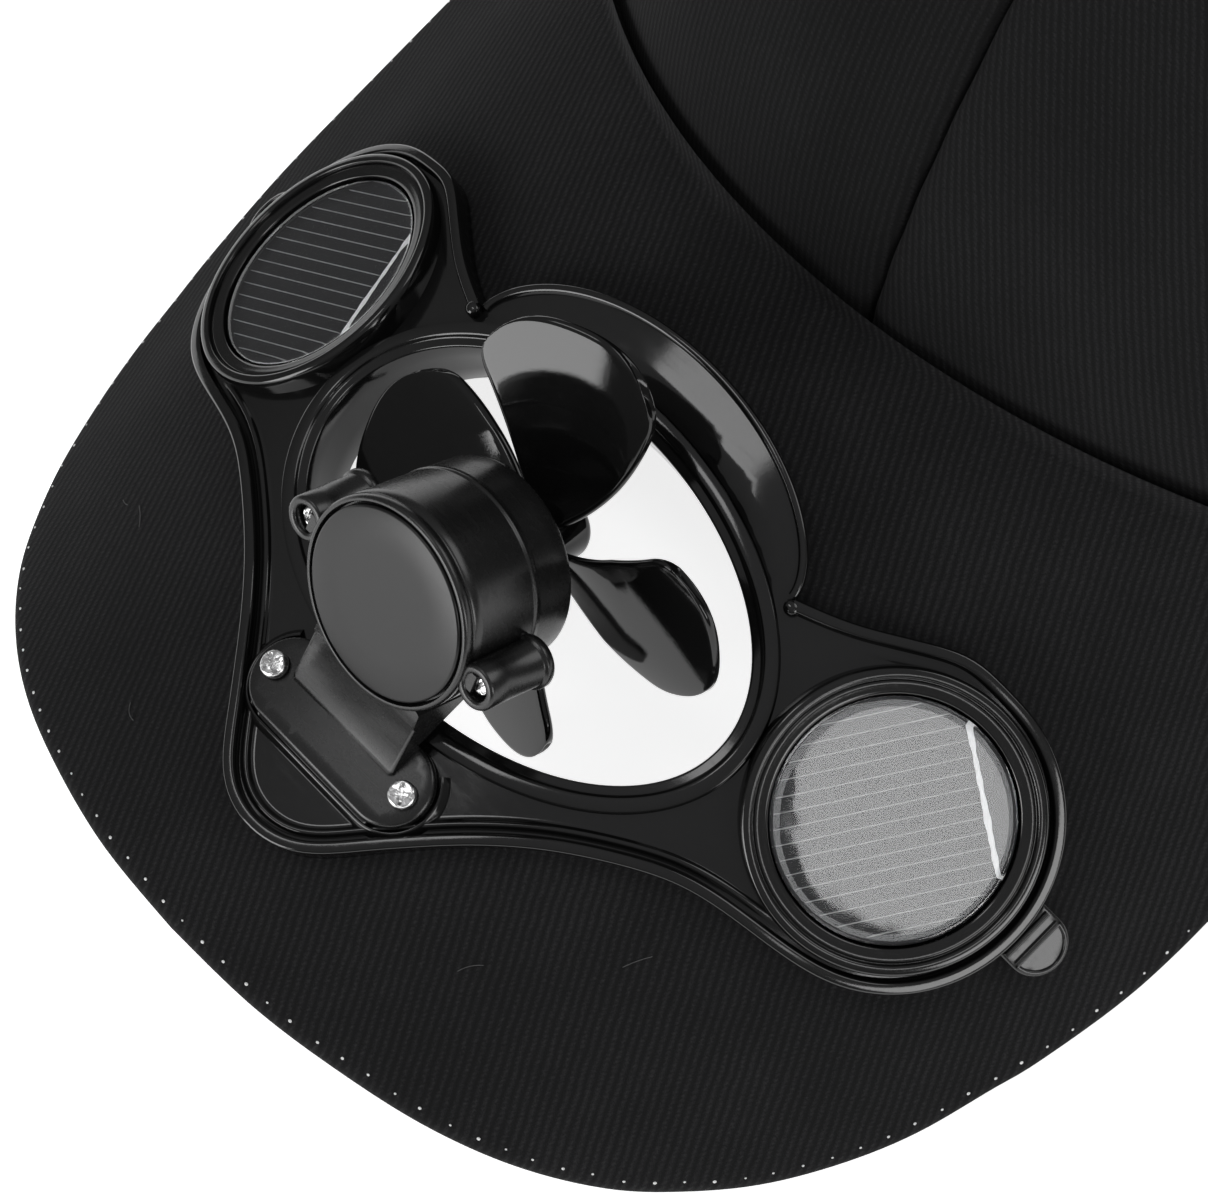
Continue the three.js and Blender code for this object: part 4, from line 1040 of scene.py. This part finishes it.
# A few fibres of lint on the cloth
def make_lint():
    """Bent fibres ahead of the frame, inside the peak's edge."""
    b = Build()
    for _ in range(46):
        x, v = rng.uniform(-60, 60), rng.uniform(-36, 44)
        if v < 20 or v > np.interp(abs(x), [0, 25, 45, 60], [46, 42, 30, 18]):
            continue
        t, size = rng.uniform(0, math.pi), rng.uniform(.5, 1.6)
        w = np.linspace(-1, 1, 7)
        bend = rng.uniform(-.4, .4)
        px = x + size * (w * math.cos(t) - bend * w * w * math.sin(t))
        pv = v + size * (w * math.sin(t) + bend * w * w * math.cos(t))
        b.grid(tube(peak_place(px, pv, .12 + .06 * w ** 2), .000035, 5), close_v=True)
    b.object("lint", [LINT])


make_lint()


# Floor and lights
def make_floor():
    m, t, bsdf = material("floor")
    grain = noise(t, in_object(t), 6, 3)[0]
    t.links.new(ramp(t, grain, [(.3, grey(.86)), (.7, grey(.9))]), bsdf.inputs["Base Color"])
    bsdf.inputs["Roughness"].default_value = .9
    bsdf.inputs["Specular IOR Level"].default_value = .1
    bsdf.inputs["Emission Color"].default_value = (1, 1, 1, 1)
    bsdf.inputs["Emission Strength"].default_value = .8
    mesh = bpy.data.meshes.new("floor")
    mesh.from_pydata([(-5, -5, 0), (5, -5, 0), (5, 5, 0), (-5, 5, 0)], [], [(0, 1, 2, 3)])
    mesh.materials.append(m)
    obj = bpy.data.objects.new("floor", mesh)
    scene.collection.objects.link(obj)
    obj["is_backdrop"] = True


def softbox(name, at, towards, width, height, radiance, shape="RECTANGLE"):
    """A soft light that looks towards a place, and that the camera sees only in reflections."""
    light = bpy.data.lights.new(name, "AREA")
    light.shape = shape
    light.size, light.size_y = width, height
    area = width * height * (math.pi / 4 if shape == "DISK" else 1)
    light.energy = radiance * area * math.pi
    obj = bpy.data.objects.new(name, light)
    obj.location = Vector(at)
    obj.rotation_euler = (Vector(towards) - Vector(at)).to_track_quat("-Z", "Y").to_euler()
    obj.visible_camera = False
    scene.collection.objects.link(obj)


make_floor()

# A pale room, brighter overhead
world = bpy.data.worlds.new("studio")
world.use_nodes = True
sky = world.node_tree
at = sky.nodes.new("ShaderNodeTexCoord").outputs["Generated"]
height = node(sky, "SeparateXYZ", {0: at}).outputs[2]
tone = ramp(sky, height, [(0, grey(.12)), (.25, grey(.16)), (.6, grey(.3)), (1, grey(.4, .02))])
sky.links.new(tone, sky.nodes["Background"].inputs[0])
scene.world = world
scene.view_settings.view_transform = "Standard"

# Each softbox stands where the camera sees it mirrored: in a cell's window, on the frame's side, a blade
# and the hood. The last one lights the back.
softbox("disc_for_cell", (.4378, -.1757, .467), (.0429, -.0824, .0248), .065, .065, 3.8, "DISK")
softbox("right_side", (.6, -.13, .27), (.061, -.077, .012), .24, .24, 5.5)
blade_top = from_peak([8, -4, 18])
softbox("front_panel", (-.118, -.70, .16), blade_top, .36, .36, 6.6)
softbox("hood_light", (-.21, -.24, .74), (-.21, -.24, 0), .37, .14, 4.4)
softbox("rear_fill", (.25, .45, .6), (0, 0, .05), .5, .4, 2.2)

low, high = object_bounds()
({"cad_box": [[float(v) for v in p] for p in cad_box],
           "visual_box": [[float(v) for v in p] for p in (low, high)]})
